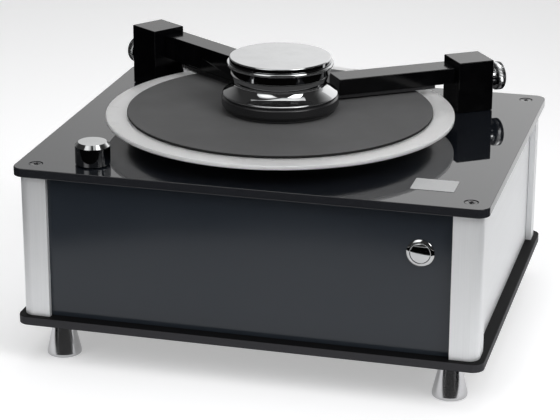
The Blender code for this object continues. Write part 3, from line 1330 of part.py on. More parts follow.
def make_drain_cap(machine):
    """The ribbed cap screwed over the drain's end behind the rear panel."""
    start = -FRONT_FACE_Y + SEAT_GAP
    inner = DRAIN_RADIUS + SEAT_GAP
    outline = [(inner, DRAIN_PROUD), (inner, 0), (DRAIN_CAP_RADIUS, 0), (DRAIN_CAP_RADIUS, DRAIN_CAP_LENGTH)]
    pattern = (True, True, False, False)
    cap = fluted_mesh(outline, DRAIN_CAP_RIBS, pattern, DRAIN_CAP_RADIUS, DRAIN_CAP_RIB_DEPTH)
    return solid("drain_cap", cap, satin_black(), machine, (drain_x(), start, drain_level()), (-math.pi / 2, 0, 0))


def hose(name, route, machine):
    """A hose with an open bore along a route of points, slipped over its spigots at both ends."""
    outer = sweep(route, HOSE_RADIUS, name)
    route_ends = lengthened(route, OVERRUN)
    inner = sweep(route_ends, HOSE_BORE_RADIUS, name + "_bore")
    body = solid(name, outer, rubber(), machine)
    return cut(body, solid(name + "_bore", inner, None, machine))


def lengthened(route, extra):
    """The route with both ends drawn out along themselves."""
    first = route[0] + (route[0] - route[1]).normalized() * extra
    last = route[-1] + (route[-1] - route[-2]).normalized() * extra
    return [first] + route + [last]


def sweep(route, radius, name):
    """A round tube along the route, as a closed mesh."""
    curve = bpy.data.curves.new(name, "CURVE")
    curve.dimensions = "3D"
    curve.bevel_depth = radius
    curve.bevel_resolution = HOSE_BEVEL_RESOLUTION
    curve.use_fill_caps = True
    spline = curve.splines.new("POLY")
    spline.points.add(len(route) - 1)
    for point, at in zip(spline.points, route):
        point.co = (*at, 1)
    guide = bpy.data.objects.new(name + "_route", curve)
    CUTTERS.objects.link(guide)
    bpy.context.view_layer.update()
    made = bpy.data.meshes.new_from_object(guide.evaluated_get(bpy.context.evaluated_depsgraph_get()))
    bpy.data.objects.remove(guide)
    bm = bmesh.new()
    bm.from_mesh(made)
    bmesh.ops.remove_doubles(bm, verts=bm.verts, dist=WELD_DISTANCE)
    bpy.data.meshes.remove(made)
    return bm


def make_hoses(machine):
    """One hose from the suction tube down to the tank, and one from the tank over to the vacuum motor."""
    tank_top = BASE_TOP + SEAT_GAP + TANK_HEIGHT
    top = DECK + tube_foot() + HOSE_OVERLAP
    foot = tank_top + SEAT_GAP
    straight = [(HOSE_BORE_RADIUS, top), (HOSE_RADIUS, top), (HOSE_RADIUS, foot), (HOSE_BORE_RADIUS, foot)]
    turned("suction_hose", straight, rubber(), machine, (SUCTION_X, SUCTION_Y, 0), closed=True)
    motor_top_level = duct_level() + VACUUM_FAN_HEIGHT / 2 + SEAT_GAP
    crest = TOP_BOTTOM - HOSE_RADIUS - 2 * SEAT_GAP
    start = Vector((tank_outlet_x(), tank_y(), foot))
    end = Vector((VACUUM_X, VACUUM_Y, motor_top_level))
    across = (end - start) * Vector((1, 1, 0))
    along = across.normalized()
    up = Vector((0, 0, 1))
    route = [start, start + up * SPIGOT_HEIGHT]
    turn = start + up * (crest - HOSE_BEND_RADIUS - foot) + along * HOSE_BEND_RADIUS
    for i in range(HOSE_BEND_STEPS + 1):
        angle = math.pi / 2 * i / HOSE_BEND_STEPS
        route.append(turn - along * HOSE_BEND_RADIUS * math.cos(angle) + up * HOSE_BEND_RADIUS * math.sin(angle))
    down = crest - HOSE_BEND_RADIUS
    turn = Vector((end.x, end.y, down)) - along * HOSE_BEND_RADIUS
    for i in range(HOSE_BEND_STEPS + 1):
        angle = math.pi / 2 * i / HOSE_BEND_STEPS
        route.append(turn + along * HOSE_BEND_RADIUS * math.sin(angle) + up * HOSE_BEND_RADIUS * math.cos(angle))
    route.append(end)
    hose("vacuum_hose", route, machine)


# Electrical parts

def make_power_supply(machine):
    """The power supply's case on the base plate, with fixing ears and vent slots in its lid."""
    foot = BASE_TOP + SEAT_GAP
    centre = (SUPPLY_X, SUPPLY_Y, foot + SUPPLY_HEIGHT / 2)
    case = block("power_supply", (SUPPLY_WIDTH, SUPPLY_DEPTH, SUPPLY_HEIGHT), centre, steel(), machine,
                 edge_break=SUPPLY_EDGE_BREAK)
    ears = (SUPPLY_WIDTH + 2 * SUPPLY_EAR_LENGTH, SUPPLY_DEPTH / 2, SUPPLY_EAR_THICKNESS)
    join(case, bar_cutter("supply_ears", ears, (SUPPLY_X, SUPPLY_Y, foot + SUPPLY_EAR_THICKNESS / 2), machine))
    depth = SUPPLY_SLOT_DEPTH + OVERRUN
    level = foot + SUPPLY_HEIGHT - SUPPLY_SLOT_DEPTH + depth / 2
    for i in range(SUPPLY_SLOTS):
        x = SUPPLY_X + (i - (SUPPLY_SLOTS - 1) / 2) * SUPPLY_SLOT_PITCH
        cut(case, bar_cutter(f"supply_slot_{i}", (SUPPLY_SLOT_WIDTH, SUPPLY_SLOT_LENGTH, depth),
                             (x, SUPPLY_Y, level), machine))
    return case


def make_mains_inlet(machine):
    """The mains inlet: a flange outside the rear panel, a body through it, and three pins in the socket."""
    face = -FRONT_FACE_Y + SEAT_GAP
    back = axis_empty("inlet_reference", machine, (INLET_X, face, INLET_LEVEL))
    out = (-math.pi / 2, 0, 0)
    inlet = solid("mains_inlet", block_mesh((INLET_FLANGE_WIDTH, INLET_FLANGE_HEIGHT, INLET_FLANGE_THICKNESS),
                                            corner_radius=INLET_CORNER_RADIUS), satin_black(), back,
                  (0, INLET_FLANGE_THICKNESS / 2, 0), out)
    body = INLET_BODY_DEPTH + INLET_FLANGE_THICKNESS / 2
    middle = INLET_FLANGE_THICKNESS / 2 - body / 2
    join(inlet, bar_cutter("inlet_body", (INLET_BODY_WIDTH, body, INLET_BODY_HEIGHT), (0, middle, 0), back))
    for sign in (-1, 1):
        tab = (INLET_PIN_HEIGHT, INLET_TAB_LENGTH + OVERRUN, INLET_PIN_WIDTH / 2)
        spot = (sign * INLET_PIN_PITCH, INLET_FLANGE_THICKNESS / 2 - body - INLET_TAB_LENGTH / 2 + OVERRUN / 2, 0)
        join(inlet, bar_cutter(f"inlet_tab_{sign + 1}", tab, spot, back))
    socket = INLET_SOCKET_DEPTH + OVERRUN
    outer = INLET_FLANGE_THICKNESS + OVERRUN
    cut(inlet, bar_cutter("inlet_socket", (INLET_SOCKET_WIDTH, socket, INLET_SOCKET_HEIGHT),
                          (0, outer - socket / 2, 0), back))
    floor = INLET_FLANGE_THICKNESS - INLET_SOCKET_DEPTH
    for i, (x, z) in enumerate(INLET_PIN_SHARES):
        pin = (INLET_PIN_WIDTH, INLET_PIN_LENGTH + OVERRUN / 2, INLET_PIN_HEIGHT)
        spot = (x * INLET_PIN_PITCH, floor + INLET_PIN_LENGTH / 2 - OVERRUN / 4, z * INLET_PIN_HEIGHT)
        join(inlet, bar_cutter(f"inlet_pin_{i}", pin, spot, back))
    return inlet


# The whole machine

def build():
    """Clears the scene and makes every part."""
    global PARTS, CUTTERS
    for old in list(bpy.data.objects):
        bpy.data.objects.remove(old)
    PARTS = new_collection("record_cleaning_machine")
    CUTTERS = new_collection("cutters")
    machine = axis_empty("machine", None, (0, 0, 0))
    make_base_plate(machine)
    make_top_plate(machine)
    for name, sx, sy in corners():
        make_column(name, sx, sy, machine)
    make_panels(machine)
    for name, x, y in screw_places():
        make_screw("top_screw_" + name, x, y, DECK, True, machine)
        make_screw("base_screw_" + name, x, y, BASE_BOTTOM, False, machine)
    make_feet(machine)
    platter_axis = make_platter(machine)
    make_platter_bearing(machine)
    make_gear_motor(machine)
    make_clamp(platter_axis)
    make_suction_arm(machine)
    make_brush_arm(machine)
    make_selector(machine)
    make_power_button(machine)
    make_vacuum_motor(machine)
    make_waste_tank(machine)
    make_drain_cap(machine)
    make_hoses(machine)
    make_power_supply(machine)
    make_mains_inlet(machine)
    for obj in PARTS.objects:
        if obj.type == "MESH" and len(obj.data.polygons) > 0:
            smooth(obj)


build()
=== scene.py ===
# %% [markdown]
# # A record cleaning machine in a studio
# The CAD model has already fixed the size, the place and the joint of every part. This lesson dresses
# that frame. Round pieces are turned again with many more steps, plates and columns get soft edges, the
# brush gets its bristles, and every surface gets a finish that is worked out in shader nodes. Each new
# piece reads its place from the CAD part that it stands for. Only the mat is cut a little smaller than
# its part.

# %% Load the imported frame
import json
import math

import bmesh
import bpy
import numpy as np
from mathutils import Matrix, Vector
from mathutils.geometry import tessellate_polygon

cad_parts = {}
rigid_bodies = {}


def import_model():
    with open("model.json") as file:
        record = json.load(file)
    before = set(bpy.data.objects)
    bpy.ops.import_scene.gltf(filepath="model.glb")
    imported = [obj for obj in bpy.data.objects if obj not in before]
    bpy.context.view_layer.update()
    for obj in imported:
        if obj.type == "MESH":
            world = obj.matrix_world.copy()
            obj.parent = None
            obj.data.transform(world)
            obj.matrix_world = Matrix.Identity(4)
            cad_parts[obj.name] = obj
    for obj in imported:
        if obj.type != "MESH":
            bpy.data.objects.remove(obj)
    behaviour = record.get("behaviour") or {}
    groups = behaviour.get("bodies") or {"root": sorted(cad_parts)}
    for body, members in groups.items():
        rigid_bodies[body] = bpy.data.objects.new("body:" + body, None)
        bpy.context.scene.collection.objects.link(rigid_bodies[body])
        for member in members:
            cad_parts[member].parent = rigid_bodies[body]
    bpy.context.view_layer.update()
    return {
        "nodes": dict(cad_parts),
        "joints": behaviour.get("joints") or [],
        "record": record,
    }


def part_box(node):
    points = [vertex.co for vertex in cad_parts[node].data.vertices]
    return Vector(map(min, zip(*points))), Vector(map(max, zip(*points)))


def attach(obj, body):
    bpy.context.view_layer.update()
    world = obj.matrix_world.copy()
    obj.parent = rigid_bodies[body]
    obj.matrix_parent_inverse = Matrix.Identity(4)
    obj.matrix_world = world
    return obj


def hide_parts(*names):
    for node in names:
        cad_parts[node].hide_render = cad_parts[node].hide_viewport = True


for startup_object in list(bpy.data.objects):
    bpy.data.objects.remove(startup_object)
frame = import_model()
MM = 0.001
print("parts in the frame:", len(frame["nodes"]))

# %% [markdown]
# ## The camera
# The photograph looks down on the machine from the front right with a long lens. The camera was fitted to
# the edges of both plates, the platter's rim and three screws, so its place is a measured one. It has no
# shift and no depth of field, because other views move the same camera round the machine.

# %% Camera
CAMERA_PLACE = (0.42735, -1.67169, 0.7186)
CAMERA_TURN = (math.pi / 2 - 0.3444, -0.0031, 0.2577)
CAMERA_LENS = 134.12
CAMERA_SENSOR = 36.0
CAMERA_NEAR = 0.05
CAMERA_FAR = 50.0


def add_camera():
    data = bpy.data.cameras.new("camera")
    data.lens = CAMERA_LENS
    data.sensor_width = CAMERA_SENSOR
    data.clip_start = CAMERA_NEAR
    data.clip_end = CAMERA_FAR
    camera = bpy.data.objects.new("camera", data)
    camera.location = CAMERA_PLACE
    camera.rotation_euler = CAMERA_TURN
    bpy.context.scene.collection.objects.link(camera)
    bpy.context.scene.camera = camera


add_camera()
print("lens in mm:", CAMERA_LENS)

# %% [markdown]
# ## Where things are
# The joints in the record carry the exact axes of the platter, the two arms, the knobs and the button. A
# piece that turns is made about that axis, so it stays centred when the joint moves.

# %% Places from the joints
joint_place = {j["name"]: Vector(j.get("pos_m") or (0, 0, 0)) for j in frame["joints"]}
PLATTER = joint_place["platter_turn"]
SUCTION = joint_place["suction_swing"]
BRUSH = joint_place["brush_swing"]
SELECTOR = joint_place["selector_turn"]
DECK = PLATTER.z
MAT_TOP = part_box("platter_mat")[1].z - DECK
SUCTION_TURN = math.radians(215)
BRUSH_TURN = math.radians(-35)


def place_at(spot, turn):
    """A frame at a point, turned about the upright."""
    return Matrix.Translation(spot) @ Matrix.Rotation(turn, 4, "Z")


suction_place = place_at(SUCTION, SUCTION_TURN)
brush_place = place_at(BRUSH, BRUSH_TURN)
print("deck level in mm:", round(DECK / MM, 1))

# %% [markdown]
# ## Paths with soft corners
# Real parts never meet in a knife edge: a lathe tool leaves a small radius and an edge is always broken.
# So every outline and profile here is written as a few corners, each with the radius that softens it. On
# each arc the points are centre + (a sin((1-s)t) + b sin(st)) / sin t, which walks evenly along the
# circle from the direction a to the direction b. A guard point beside each arc keeps the shading of the
# flat next to it flat.

# %% Soft corners
GUARD_SHARE = 0.25
ROOM_SHARE = 0.49
STRAIGHT = math.pi - 0.02


def eased(corners, closed, steps):
    """Rounds the corners of a path. A corner is (x, y) or (x, y, radius)."""
    made = []
    count = len(corners)
    for i, corner in enumerate(corners):
        here = np.array(corner[:2], float)
        radius = corner[2] if len(corner) > 2 else 0.0
        inside = closed or 0 < i < count - 1
        if radius <= 0 or not inside:
            made.append(here[None, :])
            continue
        before = np.array(corners[i - 1][:2], float) - here
        after = np.array(corners[(i + 1) % count][:2], float) - here
        room = min(np.linalg.norm(before), np.linalg.norm(after)) * ROOM_SHARE
        u = before / np.linalg.norm(before)
        v = after / np.linalg.norm(after)
        opening = math.acos(max(-1.0, min(1.0, float(u @ v))))
        if opening > STRAIGHT:
            made.append(here[None, :])
            continue
        reach = min(radius / math.tan(opening / 2), room / (1 + GUARD_SHARE))
        radius = reach * math.tan(opening / 2)
        middle = here + (u + v) / np.linalg.norm(u + v) * radius / math.sin(opening / 2)
        a = here + u * reach - middle
        b = here + v * reach - middle
        swing = math.pi - opening
        s = np.linspace(0, 1, steps + 1)[:, None]
        arc = middle + (a * np.sin((1 - s) * swing) + b * np.sin(s * swing)) / math.sin(swing)
        guard = reach * (1 + GUARD_SHARE)
        made.append(np.vstack([here + u * guard, arc, here + v * guard]))
    return np.vstack(made)


# %% [markdown]
# ## From a grid of points to a piece
# A surface is a table of points with rows and columns. Four neighbours make a face. A turned piece closes
# its columns, a ring closes its rows as well, and an end that stays open gets one flat face over it.

# %% Grids
SHARP_DEG = 40.0


def grid_faces(rows, columns, close_rows, close_columns):
    """The quads of a grid, worked out as whole arrays of indices."""
    i = np.arange(rows if close_rows else rows - 1)
    j = np.arange(columns if close_columns else columns - 1)
    i, j = np.meshgrid(i, j, indexing="ij")
    below = (i + 1) % rows
    beside = (j + 1) % columns
    corners = [i * columns + j, below * columns + j, below * columns + beside, i * columns + beside]
    return np.stack(corners, axis=-1).reshape(-1, 4).tolist()


def moved(points, matrix):
    """Applies a 4 by 4 matrix to a table of points."""
    turn = np.array(matrix.to_3x3())
    shift = np.array(matrix.translation)
    return points @ turn.T + shift


def new_piece(name, points, faces, body, sharp_deg=SHARP_DEG):
    """Makes the mesh object of a piece and lets it ride on a body of the frame."""
    mesh = bpy.data.meshes.new(name)
    mesh.from_pydata(np.asarray(points, float).reshape(-1, 3).tolist(), [], faces)
    mesh.validate()
    mesh.update()
    mesh.shade_smooth()
    mesh.set_sharp_from_angle(angle=math.radians(sharp_deg))
    piece = bpy.data.objects.new(name, mesh)
    bpy.context.scene.collection.objects.link(piece)
    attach(piece, body)
    return piece


def caps(rows, columns):
    """One flat face over the first row and one over the last."""
    first = list(range(columns))
    last = [(rows - 1) * columns + j for j in reversed(range(columns))]
    return [first, last]


# %% [markdown]
# ## Turning
# A lathe part is a profile carried round an axis: radius r and height h give the points
# (r cos a, r sin a, h). The profile is listed down its outer side, which makes the faces point outwards.
# A ripple of the radius gives flutes or knurls to the rings that have the full radius. A solid's profile
# stops at a small core round the axis, and one flat face closes that.

# %% Turned pieces
EASE_STEPS = 5
LARGE_TURN = 256
CONTROL_TURN = 160
RING_TURN = 128
PART_TURN = 96
SMALL_TURN = 72
PIN_TURN = 48
CORE = 1.0 * MM
FINE_CORE = 0.3 * MM


def turned(name, corners, place, body, steps, hollow=False, ripple=None, sharp_deg=SHARP_DEG):
    """Turns an eased profile about the Z axis of a place, with this number of steps round it."""
    path = eased(corners, closed=hollow, steps=EASE_STEPS)
    angle = np.linspace(0, 2 * np.pi, steps, endpoint=False)
    radius = np.repeat(path[:, :1], steps, axis=1)
    if ripple is not None:
        radius = radius + ripple(radius, path[:, 1:2], angle[None, :])
    height = np.repeat(path[:, 1:2], steps, axis=1)
    points = np.stack([radius * np.cos(angle), radius * np.sin(angle), height], axis=-1)
    faces = grid_faces(len(path), steps, hollow, True)
    if not hollow:
        faces += caps(len(path), steps)
    return new_piece(name, moved(points.reshape(-1, 3), place), faces, body, sharp_deg)


# %% [markdown]
# ## Slabs
# Plates, the bars and strips of the lips and the back of the brush are slabs: a rounded rectangle that
# shrinks a little at its upper and lower edge. The outline at an inset d is the same rectangle with each
# side and each corner radius smaller by d, so all rows have the same number of points. A slab may have
# holes, each a path of (radius, level) from its top to its bottom. The flat faces with holes in them are
# split into triangles.

# %% Slabs with holes
CORNER_STEPS = 12
EDGE_STEPS = 4
HOLE_STEPS = 48
LEAST_CORNER = 0.02 * MM


def rounded_outline(half_x, half_y, radius):
    """A rectangle with round corners, anticlockwise, as an array of (x, y)."""
    quarter = np.linspace(0, np.pi / 2, CORNER_STEPS + 1)
    made = []
    for k, (sx, sy) in enumerate(((1, 1), (-1, 1), (-1, -1), (1, -1))):
        angle = quarter + k * np.pi / 2
        x = sx * (half_x - radius) + radius * np.cos(angle)
        y = sy * (half_y - radius) + radius * np.sin(angle)
        made.append(np.stack([x, y], axis=-1))
    return np.vstack(made)


def cap_with_holes(rings, points, up):
    """Triangles over a flat face whose first ring is the outline and whose others are holes."""
    loops = [[Vector(points[k]) for k in ring] for ring in rings]
    flat = [k for ring in rings for k in ring]
    made = []
    for a, b, c in tessellate_polygon(loops):
        p, q, r = (np.array(points[flat[k]]) for k in (a, b, c))
        facing = np.cross(q - p, r - p)[2] > 0
        made.append([flat[a], flat[b], flat[c]] if facing == up else [flat[a], flat[c], flat[b]])
    return made


def slab(name, size, centre, place, body, radius, edge, holes=()):
    """A block of size (x, y, z) about its centre, with round corners and eased upper and lower edges."""
    half_x, half_y, half_z = (s / 2 for s in size)
    angle = np.linspace(0, np.pi / 2, EDGE_STEPS + 1)
    guard = edge * (1 + GUARD_SHARE)
    inset = np.concatenate([[guard], edge * (1 - np.sin(angle)), [0.0]])
    drop = np.concatenate([[0.0], edge * (1 - np.cos(angle)), [guard]])
    insets = np.concatenate([inset, inset[::-1]])
    levels = np.concatenate([half_z - drop, drop[::-1] - half_z])
    rows = []
    for d, z in zip(insets, levels):
        ring = rounded_outline(half_x - d, half_y - d, max(radius - d, LEAST_CORNER))
        rows.append(np.column_stack([ring, np.full(len(ring), z)]))
    columns = len(rows[0])
    points = np.vstack(rows)
    faces = grid_faces(len(rows), columns, False, True)
    top_rings = [list(range(columns))]
    bottom_rings = [list(range((len(rows) - 1) * columns, len(rows) * columns))]
    turn = np.linspace(0, 2 * np.pi, HOLE_STEPS, endpoint=False)
    for x, y, path in holes:
        start = len(points)
        wall = [
            np.column_stack([x + r * np.cos(turn), y + r * np.sin(turn), np.full(HOLE_STEPS, z)])
            for r, z in path
        ]
        points = np.vstack([points, *wall])
        quads = np.array(grid_faces(len(path), HOLE_STEPS, False, True)) + start
        faces += quads[:, ::-1].tolist()
        top_rings.append(list(range(start, start + HOLE_STEPS)))
        bottom_rings.append(list(range(len(points) - HOLE_STEPS, len(points))))
    if holes:
        faces += cap_with_holes(top_rings, points, True)
        faces += cap_with_holes(bottom_rings, points, False)
    else:
        faces += [top_rings[0], bottom_rings[0][::-1]]
    shifted = moved(points + np.array(centre), place)
    return new_piece(name, shifted, faces, body)


# %% [markdown]
# ## Carrying over a CAD part with softer edges
# Posts and bars have the right shape already, with their slots and holes. A copy of the CAD mesh is
# merged, its flat faces are joined, and a Bevel modifier breaks its edges. The copy then stands for the
# CAD part.

# %% Softened copies
MERGE_DISTANCE = 0.001 * MM
FLAT_LIMIT = math.radians(1)
CREASE_LIMIT = math.radians(35)
BEVEL_SEGMENTS = 2


def softened(node, body, width):
    """A copy of a CAD node with its edges broken by a small bevel."""
    source = frame["nodes"][node]
    bm = bmesh.new()
    bm.from_mesh(source.data)
    bmesh.ops.remove_doubles(bm, verts=bm.verts, dist=MERGE_DISTANCE)
    bmesh.ops.dissolve_limit(bm, angle_limit=FLAT_LIMIT, verts=bm.verts, edges=bm.edges)
    mesh = bpy.data.meshes.new(node + "_soft")
    bm.to_mesh(mesh)
    bm.free()
    mesh.materials.clear()
    mesh.shade_smooth()
    mesh.set_sharp_from_angle(angle=CREASE_LIMIT)
    piece = bpy.data.objects.new(node + "_soft", mesh)
    bpy.context.scene.collection.objects.link(piece)
    bevel = piece.modifiers.new("edges", "BEVEL")
    bevel.width = width
    bevel.segments = BEVEL_SEGMENTS
    bevel.limit_method = "ANGLE"
    bevel.angle_limit = CREASE_LIMIT
    bevel.harden_normals = True
    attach(piece, body)
    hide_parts(node)
    return piece


# %% [markdown]
# ## Shader maths as sums
# A finish is a formula: noise stretched along a direction, a mask times a strength, a height that becomes
# a bump. To write such formulas as Python sums, one small class wraps a socket, and each operator adds a
# Math node. Numbers alone are worked out before they reach a node.

# %% A socket that can be added and multiplied
class Wire:
    """A number that varies over a surface, as an output socket of a tree."""

    def __init__(self, finish, socket):
        self.finish = finish
        self.socket = socket

    def maths(self, operation, *values):
        return self.finish.node("ShaderNodeMath", {"operation": operation}, dict(enumerate(values)))

    def __add__(self, other):
        return self.maths("ADD", self, other)

    def __radd__(self, other):
        return self.maths("ADD", other, self)

    def __sub__(self, other):
        return self.maths("SUBTRACT", self, other)

    def __rsub__(self, other):
        return self.maths("SUBTRACT", other, self)

    def __mul__(self, other):
        return self.maths("MULTIPLY", self, other)

    def __rmul__(self, other):
        return self.maths("MULTIPLY", other, self)

    def __abs__(self):
        return self.maths("ABSOLUTE", self)

    def sine(self):
        return self.maths("SINE", self)

    def clipped(self, low, high, new_low=0.0, new_high=1.0):
        """The value taken from one range to another and held inside it."""
        ranges = {"From Min": low, "From Max": high, "To Min": new_low, "To Max": new_high, "Value": self}
        return self.finish.node("ShaderNodeMapRange", {"clamp": True}, ranges)


class NodeTree:
    """A tree to which nodes are added one by one."""

    def __init__(self, tree):
        self.tree = tree

    def node(self, kind, settings=None, values=None, out=0):
        """Adds a node, sets its settings first and then the values or links of its sockets."""
        made = self.tree.nodes.new(kind)
        for key, value in (settings or {}).items():
            setattr(made, key, value)
        for key, value in (values or {}).items():
            self.join(made.inputs[key], value)
        return Wire(self, made.outputs[out])

    def join(self, socket, value):
        if isinstance(value, Wire):
            self.tree.links.new(value.socket, socket)
        else:
            socket.default_value = value


class Finish(NodeTree):
    """A material whose nodes feed its Principled shader."""

    def __init__(self, name, colour, roughness, metallic=0.0, ior=1.5):
        self.material = bpy.data.materials.new(name)
        self.material.use_nodes = True
        super().__init__(self.material.node_tree)
        self.shader = self.tree.nodes["Principled BSDF"]
        self.put("Base Color", (*colour, 1.0))
        self.put("Roughness", roughness)
        self.put("Metallic", metallic)
        self.put("IOR", ior)
        self.material.diffuse_color = (*colour, 1.0)

    def put(self, name, value):
        self.join(self.shader.inputs[name], value)

    def spot(self, scale=(1.0, 1.0, 1.0), centre=(0.0, 0.0, 0.0)):
        """Object coordinates, measured from a centre and stretched along each axis."""
        where = self.node("ShaderNodeTexCoord", out="Object")
        shift = tuple(-c * s for c, s in zip(centre, scale))
        return self.node("ShaderNodeMapping", None, {"Vector": where, "Scale": scale, "Location": shift})

    def noise(self, where, scale, detail=3.0, roughness=0.5):
        sizes = {"Vector": where, "Scale": scale, "Detail": detail, "Roughness": roughness}
        return self.node("ShaderNodeTexNoise", {"noise_dimensions": "3D"}, sizes, "Fac")

    def level(self, centre):
        """The height above a centre."""
        return self.node("ShaderNodeSeparateXYZ", None, {0: self.spot(centre=centre)}, "Z")

    def painted_edge_light(self, least, most):
        """A mask from least on the level faces to most on the upright ones, for painted light that makes the
        edges paler.
        """
        facing = self.node("ShaderNodeNewGeometry", out="Normal")
        upward = abs(self.node("ShaderNodeSeparateXYZ", None, {0: facing}, "Z"))
        return upward.clipped(0.2, 0.6, most, least)

    def bump(self, height, distance, strength):
        """Uses a height, in shares of a distance, as the surface's relief."""
        values = {"Height": height, "Distance": distance, "Strength": strength}
        self.put("Normal", self.node("ShaderNodeBump", None, values))

    def blended(self, factor, first, second):
        """A colour between two colours, each of them three numbers or a socket."""
        first, second = (c if isinstance(c, Wire) else (*c, 1.0) for c in (first, second))
        return self.node("ShaderNodeMix", {"data_type": "RGBA"}, {0: factor, 6: first, 7: second}, 2)


# %% [markdown]
# ## Polished black acrylic
# The two plates and the front panel are cast acrylic: a very deep, slightly cool black under a
# mirror-smooth skin. What makes it look real is not the colour, which is nearly nothing, but the
# reflection and the traces on it: a faint waviness of the cast sheet, fine wiping marks, and a little
# dust that makes the gloss uneven.

# %% Acrylic
DEEP_BLACK = (0.0065, 0.0078, 0.0105)
SHEET_WAVES = 0.03 * MM
MATT_GRAIN = 0.02 * MM


def gloss_acrylic():
    finish = Finish("gloss_black_acrylic", DEEP_BLACK, 0.03, ior=1.49)
    marks = finish.noise(finish.spot((1.0, 7.0, 1.0)), 90.0, 5.0, 0.65)
    cloud = finish.noise(finish.spot(), 14.0, 3.0)
    finish.put("Roughness", 0.018 + marks.clipped(0.5, 0.8) * 0.03 + cloud.clipped(0.45, 0.75) * 0.02)
    dust = finish.noise(finish.spot(), 1400.0, 2.0).clipped(0.70, 0.76)
    # Dust pales the base colour in small specks, and the upright edges are painted paler as painted light.
    dust_and_edge_light = dust * 0.5 + finish.painted_edge_light(0.0, 0.16)
    finish.put("Base Color", finish.blended(dust_and_edge_light, DEEP_BLACK, (0.10, 0.10, 0.11)))
    finish.bump(finish.noise(finish.spot(), 22.0, 1.0), SHEET_WAVES, 0.35)
    return finish.material


def matt_acrylic():
    """The base plate's sheet is the matt kind: it mirrors next to nothing, and only its cut edge is painted
    paler, which is painted light.
    """
    finish = Finish("matt_black_acrylic", (0.010, 0.010, 0.011), 0.5, ior=1.13)
    grain = finish.noise(finish.spot(), 2200.0, 3.0)
    cloud = finish.noise(finish.spot(), 18.0, 3.0)
    finish.put("Roughness", 0.42 + grain * 0.12 + cloud * 0.05)
    # The upright faces are painted paler: painted light on the cut edge.
    edge = finish.painted_edge_light(0.0, 1.0)
    finish.put("Base Color", finish.blended(edge, (0.006, 0.006, 0.0065), (0.050, 0.050, 0.054)))
    finish.bump(grain, MATT_GRAIN, 0.4)
    return finish.material


# %% [markdown]
# ## The front panel
# The front panel is the same black sheet with a finely frosted face. The frost scatters a little light
# back, so the panel reads as a very dark blue grey and mirrors the floor only softly.

# %% Frosted sheet
FROST_DEPTH = 0.01 * MM


def frosted_sheet():
    finish = Finish("frosted_black_sheet", (0.025, 0.030, 0.039), 0.12, ior=1.40)
    frost = finish.noise(finish.spot(), 3200.0, 2.0)
    cloud = finish.noise(finish.spot(), 8.0, 3.0)
    finish.put("Roughness", 0.10 + frost * 0.05 + cloud * 0.05)
    shade = cloud.clipped(0.35, 0.75)
    finish.put("Base Color", finish.blended(shade, (0.024, 0.030, 0.039), (0.028, 0.034, 0.043)))
    finish.bump(frost, FROST_DEPTH, 0.4)
    return finish.material


# %% [markdown]
# ## Satin black plastic
# The posts and the bars are machined from a dense black plastic. Their skin is finer than moulded plastic
# and still shows the mill's path as a faint, even grain, so the upper faces catch the light in a soft
# sheet.

# %% Satin plastic
MILL_DEPTH = 0.02 * MM


def satin_plastic():
    finish = Finish("satin_black_plastic", (0.0020, 0.0020, 0.0024), 0.2, ior=1.29)
    grain = finish.noise(finish.spot(), 2600.0, 3.0, 0.6)
    wear = finish.noise(finish.spot(), 60.0, 4.0)
    finish.put("Roughness", 0.10 + grain * 0.05 + wear.clipped(0.5, 0.8) * 0.05)
    rubbed = wear.clipped(0.45, 0.8)
    finish.put("Base Color", finish.blended(rubbed, (0.0018, 0.0018, 0.0022), (0.004, 0.004, 0.0045)))
    finish.bump(grain, MILL_DEPTH, 0.5)
    return finish.material


# %% [markdown]
# ## Opal acrylic
# The platter is a disc of white translucent acrylic. Light enters it and comes out a little further on,
# so the rim glows and never looks like paint. Subsurface scattering over its whole weight does this, with
# a length of several times the disc's thickness, and the upper face has the fine circles that the facing
# cut leaves.

# %% Opal
SCATTER_LENGTH = 26.0 * MM
FACING_DEPTH = 0.004 * MM
FACING_TURNS = 5200.0


def opal_acrylic():
    finish = Finish("opal_acrylic", (0.97, 0.975, 0.98), 0.28, ior=1.49)
    finish.put("Subsurface Weight", 1.0)
    finish.put("Subsurface Radius", (1.0, 1.0, 1.0))
    finish.put("Subsurface Scale", SCATTER_LENGTH)
    away = finish.spot(centre=PLATTER)
    across = finish.node("ShaderNodeVectorMath", {"operation": "LENGTH"}, {0: away}, "Value")
    circles = (across * FACING_TURNS).sine() * 0.5 + 0.5
    cloud = finish.noise(finish.spot(), 40.0, 4.0)
    finish.put("Roughness", 0.24 + circles * 0.05 + cloud * 0.08)
    shade = cloud.clipped(0.4, 0.8)
    finish.put("Base Color", finish.blended(shade, (0.975, 0.98, 0.985), (0.955, 0.96, 0.965)))
    finish.bump(circles, FACING_DEPTH, 0.6)
    return finish.material


# %% [markdown]
# ## The mat
# The mat is a soft grey foam, and its wall is painted near black below the upper half millimetre:
# painted shade on the mat's side. It has no gloss at all. Close up it is a fine pebble with tiny open
# cells, and from a step away it only shows as a slight unevenness in the grey.

# %% Mat rubber
WALL_SHADE_FROM = 0.5 * MM
WALL_SHADE_FULL = 0.2 * MM
PEBBLE_DEPTH = 0.10 * MM
RUBBER_SKIN = 0.05 * MM


